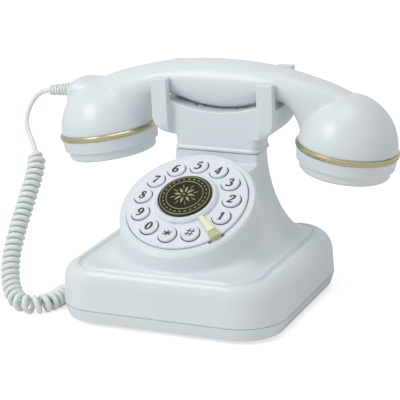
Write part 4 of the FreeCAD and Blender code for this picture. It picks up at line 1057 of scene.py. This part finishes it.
def read_route(name, points, steps=12):
    """Points along the smooth line that the route's control points give."""
    curve = bpy.data.curves.new(name, "CURVE")
    curve.dimensions = "3D"
    pen_stroke(curve, [(place, 1.0) for place in points], steps)
    route = bpy.data.objects.new(name, curve)
    bpy.context.collection.objects.link(route)
    mesh = bpy.data.meshes.new_from_object(route.evaluated_get(bpy.context.evaluated_depsgraph_get()))
    line = [v.co.copy() for v in mesh.vertices]
    bpy.data.objects.remove(route)
    bpy.data.meshes.remove(mesh)
    return line


RELIEF_DROOP = math.radians(6.0)
RELIEF_ALONG = Vector((-math.cos(RELIEF_DROOP), 0, -math.sin(RELIEF_DROOP)))
RELIEF_FOOT = Vector((-105.2, HANDSET_Y, 115.6))
RELIEF_LONG = 15.5
RELIEF_TIP = RELIEF_FOOT + RELIEF_ALONG * RELIEF_LONG
COIL_POINTS = [(-120.6, 13.0, 80.4), (-116.6, 8.1, 75.4), (-115.0, -1.6, 66.0), (-114.6, -12.6, 54.8),
               (-114.2, -23.8, 43.8), (-113.2, -34.4, 33.0), (-111.0, -43.6, 23.4), (-107.0, -51.4, 14.8),
               (-101.0, -57.8, 8.8), (-93.4, -61.4, 6.3), (-85.6, -60.4, 6.2), (-79.8, -54.0, 6.2),
               (-77.8, -44.4, 6.2), (-78.2, -35.8, 6.25), (-78.4, -30.0, 6.3)]
LEAD_POINTS = [RELIEF_TIP, RELIEF_TIP + RELIEF_ALONG * 5, (-131.4, 37.7, 109.8), (-134.8, 34.1, 103.4),
               (-134.6, 28.1, 96.2), (-130.4, 22.1, 89.8), (-124.6, 17.5, 85.4), COIL_POINTS[0]]
TAIL_POINTS = [COIL_POINTS[-1], (-78.2, -24.0, 6.3), (-79.6, -17.0, 3.8), (-83.5, -9.5, 2.3),
               (-86.8, -1.5, 3.8), (-88.0, 5.4, 8.0), (-87.8, 10.6, 13.6), (-84.6, 13.5, 17.4),
               (-79.4, 13.5, 18.0)]
TURN_PITCH = 4.15
TURN_SPACING = 1.06
TURN_START = 200.0
COIL_ONSET = 7.0
COIL_STEPS = 1400
BEND_SPAN = 4
HEADING_REACH = 0.8
TIGHTEST_SIDE = 0.35
LINE_STEP = 0.08


def wound(route):
    """The strand's line round the route: turns as close as its thickness allows, more open round bends."""
    radius = (COIL_R - CORD_R) * MM
    lengths = [0.0]
    for a, b in zip(route, route[1:]):
        lengths.append(lengths[-1] + (b - a).length)
    total = lengths[-1]

    def at(s):
        i = max(0, min(len(route) - 2, next((k for k, v in enumerate(lengths) if v > s), len(route) - 1) - 1))
        t = (s - lengths[i]) / (lengths[i + 1] - lengths[i])
        return route[i].lerp(route[i + 1], t)

    line, angle = [], math.radians(TURN_START)
    ahead = (at(total / COIL_STEPS * 6) - at(0)).normalized()
    normal = ahead.orthogonal().normalized()
    reach_on, span = HEADING_REACH * MM, BEND_SPAN * MM
    for k in range(COIL_STEPS + 1):
        s = total * k / COIL_STEPS
        along = (at(min(total, s + reach_on)) - at(max(0, s - reach_on))).normalized()
        turn = ahead.rotation_difference(along)
        normal = (turn @ normal - along * (turn @ normal).dot(along)).normalized()
        ahead = along
        before = (at(s) - at(max(0, s - span))).normalized() if s > 0.5 * span else along
        after = (at(min(total, s + span)) - at(s)).normalized() if s < total - 0.5 * span else along
        bend = before.angle(after) / span
        room = 2 * CORD_R * MM * TURN_SPACING / max(TIGHTEST_SIDE, 1 - radius * bend)
        pitch = max(TURN_PITCH * MM, room)
        angle += 2 * math.pi * (total / COIL_STEPS) / pitch
        share = min(1.0, s / (COIL_ONSET * MM), (total - s) / (COIL_ONSET * MM))
        reach = radius * share * share * (3 - 2 * share)
        line.append(at(s) + reach * (math.cos(angle) * normal + math.sin(angle) * along.cross(normal)))
    return line


def strand_tree(material):
    tree, source, output = new_tree("strand along a line", {"strand radius": CORD_R * MM, "sides": 10})
    nodes, link = tree.nodes, tree.links.new
    line = nodes.new("GeometryNodeMeshToCurve")
    link(source.outputs["Geometry"], line.inputs["Mesh"])
    ring = nodes.new("GeometryNodeCurvePrimitiveCircle")
    link(source.outputs["strand radius"], ring.inputs["Radius"])
    link(source.outputs["sides"], ring.inputs["Resolution"])
    skin = nodes.new("GeometryNodeCurveToMesh")
    skin.inputs["Fill Caps"].default_value = True
    link(line.outputs["Curve"], skin.inputs["Curve"])
    link(ring.outputs["Curve"], skin.inputs["Profile Curve"])
    finish_tree(tree, skin.outputs["Mesh"], output, material)
    return tree


def make_cord():
    """One strand: straight out of the handset, wound down to the table, and on to the plug."""
    lead = read_route("lead_route", LEAD_POINTS)
    coil = wound(read_route("coil_route", COIL_POINTS, 24))
    tail = read_route("tail_route", TAIL_POINTS)
    line = [lead[0]]
    for point in lead[1:] + coil + tail:
        if (point - line[-1]).length > LINE_STEP * MM:
            line.append(point)
    mesh = bpy.data.meshes.new("strand")
    mesh.from_pydata([tuple(p) for p in line], [(i, i + 1) for i in range(len(line) - 1)], [])
    strand = new_piece("coiled_handset_cord", mesh, CORD_WHITE)
    strand = grown(strand, strand_tree(CORD_WHITE))
    strand.data.shade_smooth()
    length = sum((b - a).length for a, b in zip(line, line[1:]))
    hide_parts("cord_lead", "curly_cord", "cord_tail")
    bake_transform(strand)


# Lights and floor

def area_light(name, place, aim, size, power):
    lamp = bpy.data.lights.new(name, "AREA")
    lamp.shape = "DISK"
    lamp.size = size
    lamp.energy = power
    light = bpy.data.objects.new(name, lamp)
    bpy.context.collection.objects.link(light)
    place, aim = Vector(place), Vector(aim)
    facing = (aim - place).to_track_quat("-Z", "Y").to_matrix().to_4x4()
    light.matrix_world = Matrix.Translation(place) @ facing


FLOOR_HALF = 6000
FLOOR_THICK = 20
FLOOR_GLOW = 0.6
ROOM_COLOUR = (0.95, 0.97, 1.0, 1)
ROOM_LIGHT = 0.46
LAMP_WIDE = 0.9
LAMP_AIM = (0, 0, 0.07)


def make_floor():
    """White paper under the phone, which the camera sees brighter than it is lit."""
    paper = Finish("white paper floor", (0.9, 0.9, 0.9), 0.9)
    camera_ray = paper.node("ShaderNodeLightPath")
    paper.feed("Emission Color", (1, 1, 1, 1))
    paper.feed("Emission Strength", camera_ray * FLOOR_GLOW)
    slab = block(-FLOOR_HALF, FLOOR_HALF, -FLOOR_HALF, FLOOR_HALF, -FLOOR_THICK, 0)
    from_bmesh("floor", slab, paper.material, smooth=False)


def make_room():
    """Soft light from all round; rays from the camera, reflections and clear plastic see plain white."""
    world = bpy.data.worlds.new("soft room")
    bpy.context.scene.world = world
    world.use_nodes = True
    tree = world.node_tree
    sky = tree.nodes["Background"]
    sky.inputs["Color"].default_value = ROOM_COLOUR
    sky.inputs["Strength"].default_value = ROOM_LIGHT
    white = tree.nodes.new("ShaderNodeBackground")
    white.inputs["Strength"].default_value = 1.0
    path = tree.nodes.new("ShaderNodeLightPath")
    seen = tree.nodes.new("ShaderNodeMixShader")
    kinds = ["Is Camera Ray", "Is Glossy Ray", "Is Transmission Ray"]
    shares = [path.outputs[kind] for kind in kinds]
    while len(shares) > 1:
        either = tree.nodes.new("ShaderNodeMath")
        either.operation = "MAXIMUM"
        tree.links.new(shares.pop(), either.inputs[0])
        tree.links.new(shares.pop(), either.inputs[1])
        shares.append(either.outputs[0])
    tree.links.new(shares[0], seen.inputs[0])
    tree.links.new(sky.outputs[0], seen.inputs[1])
    tree.links.new(white.outputs[0], seen.inputs[2])
    tree.links.new(seen.outputs[0], tree.nodes["World Output"].inputs["Surface"])
    area_light("key light", (-0.75, -1.0, 1.15), LAMP_AIM, LAMP_WIDE, 10)
    area_light("top light", (0.1, -0.1, 1.4), LAMP_AIM, LAMP_WIDE, 3)


def finish_nodes():
    """Finishes of the frame's own pieces that show or stay inside as they are."""
    coat_node(WHITE, "base_plate", "ear_cap", "mouth_cap", "redial_key")
    coat_node(WHITE, "hook_plunger_left", "hook_plunger_right")
    coat_node(DIAL_WHITE, "dial_plate", "hub_ring")
    coat_node(GOLD, "ear_ring", "mouth_ring")
    coat_node(RUBBER, "rubber_feet")
    coat_node(SILICONE, "key_sheet")
    coat_node(BOARD, "key_board", "main_board")
    coat_node(STEEL, "base_screws", "main_board_screws", "key_board_screws", "cradle_screws")
    coat_node(STEEL, "ballast_weight", "handset_weight")
    coat_node(BLACK, "ringer", "hook_bracket", "hook_switch", "hook_bridge", "handset_jack", "line_jack",
              "ringer_switch", "tone_switch", "ringer_knob", "tone_knob", "receiver", "microphone")
    coat_node(CLEAR_PLUG, "cord_plug")
    coat_node(CORD_WHITE, "strain_relief")


put_camera()
make_cord()
finish_nodes()
make_body()
make_handset()
make_cradle()
make_keys()
make_finger_stop()
make_medallion()
make_floor()
make_room()
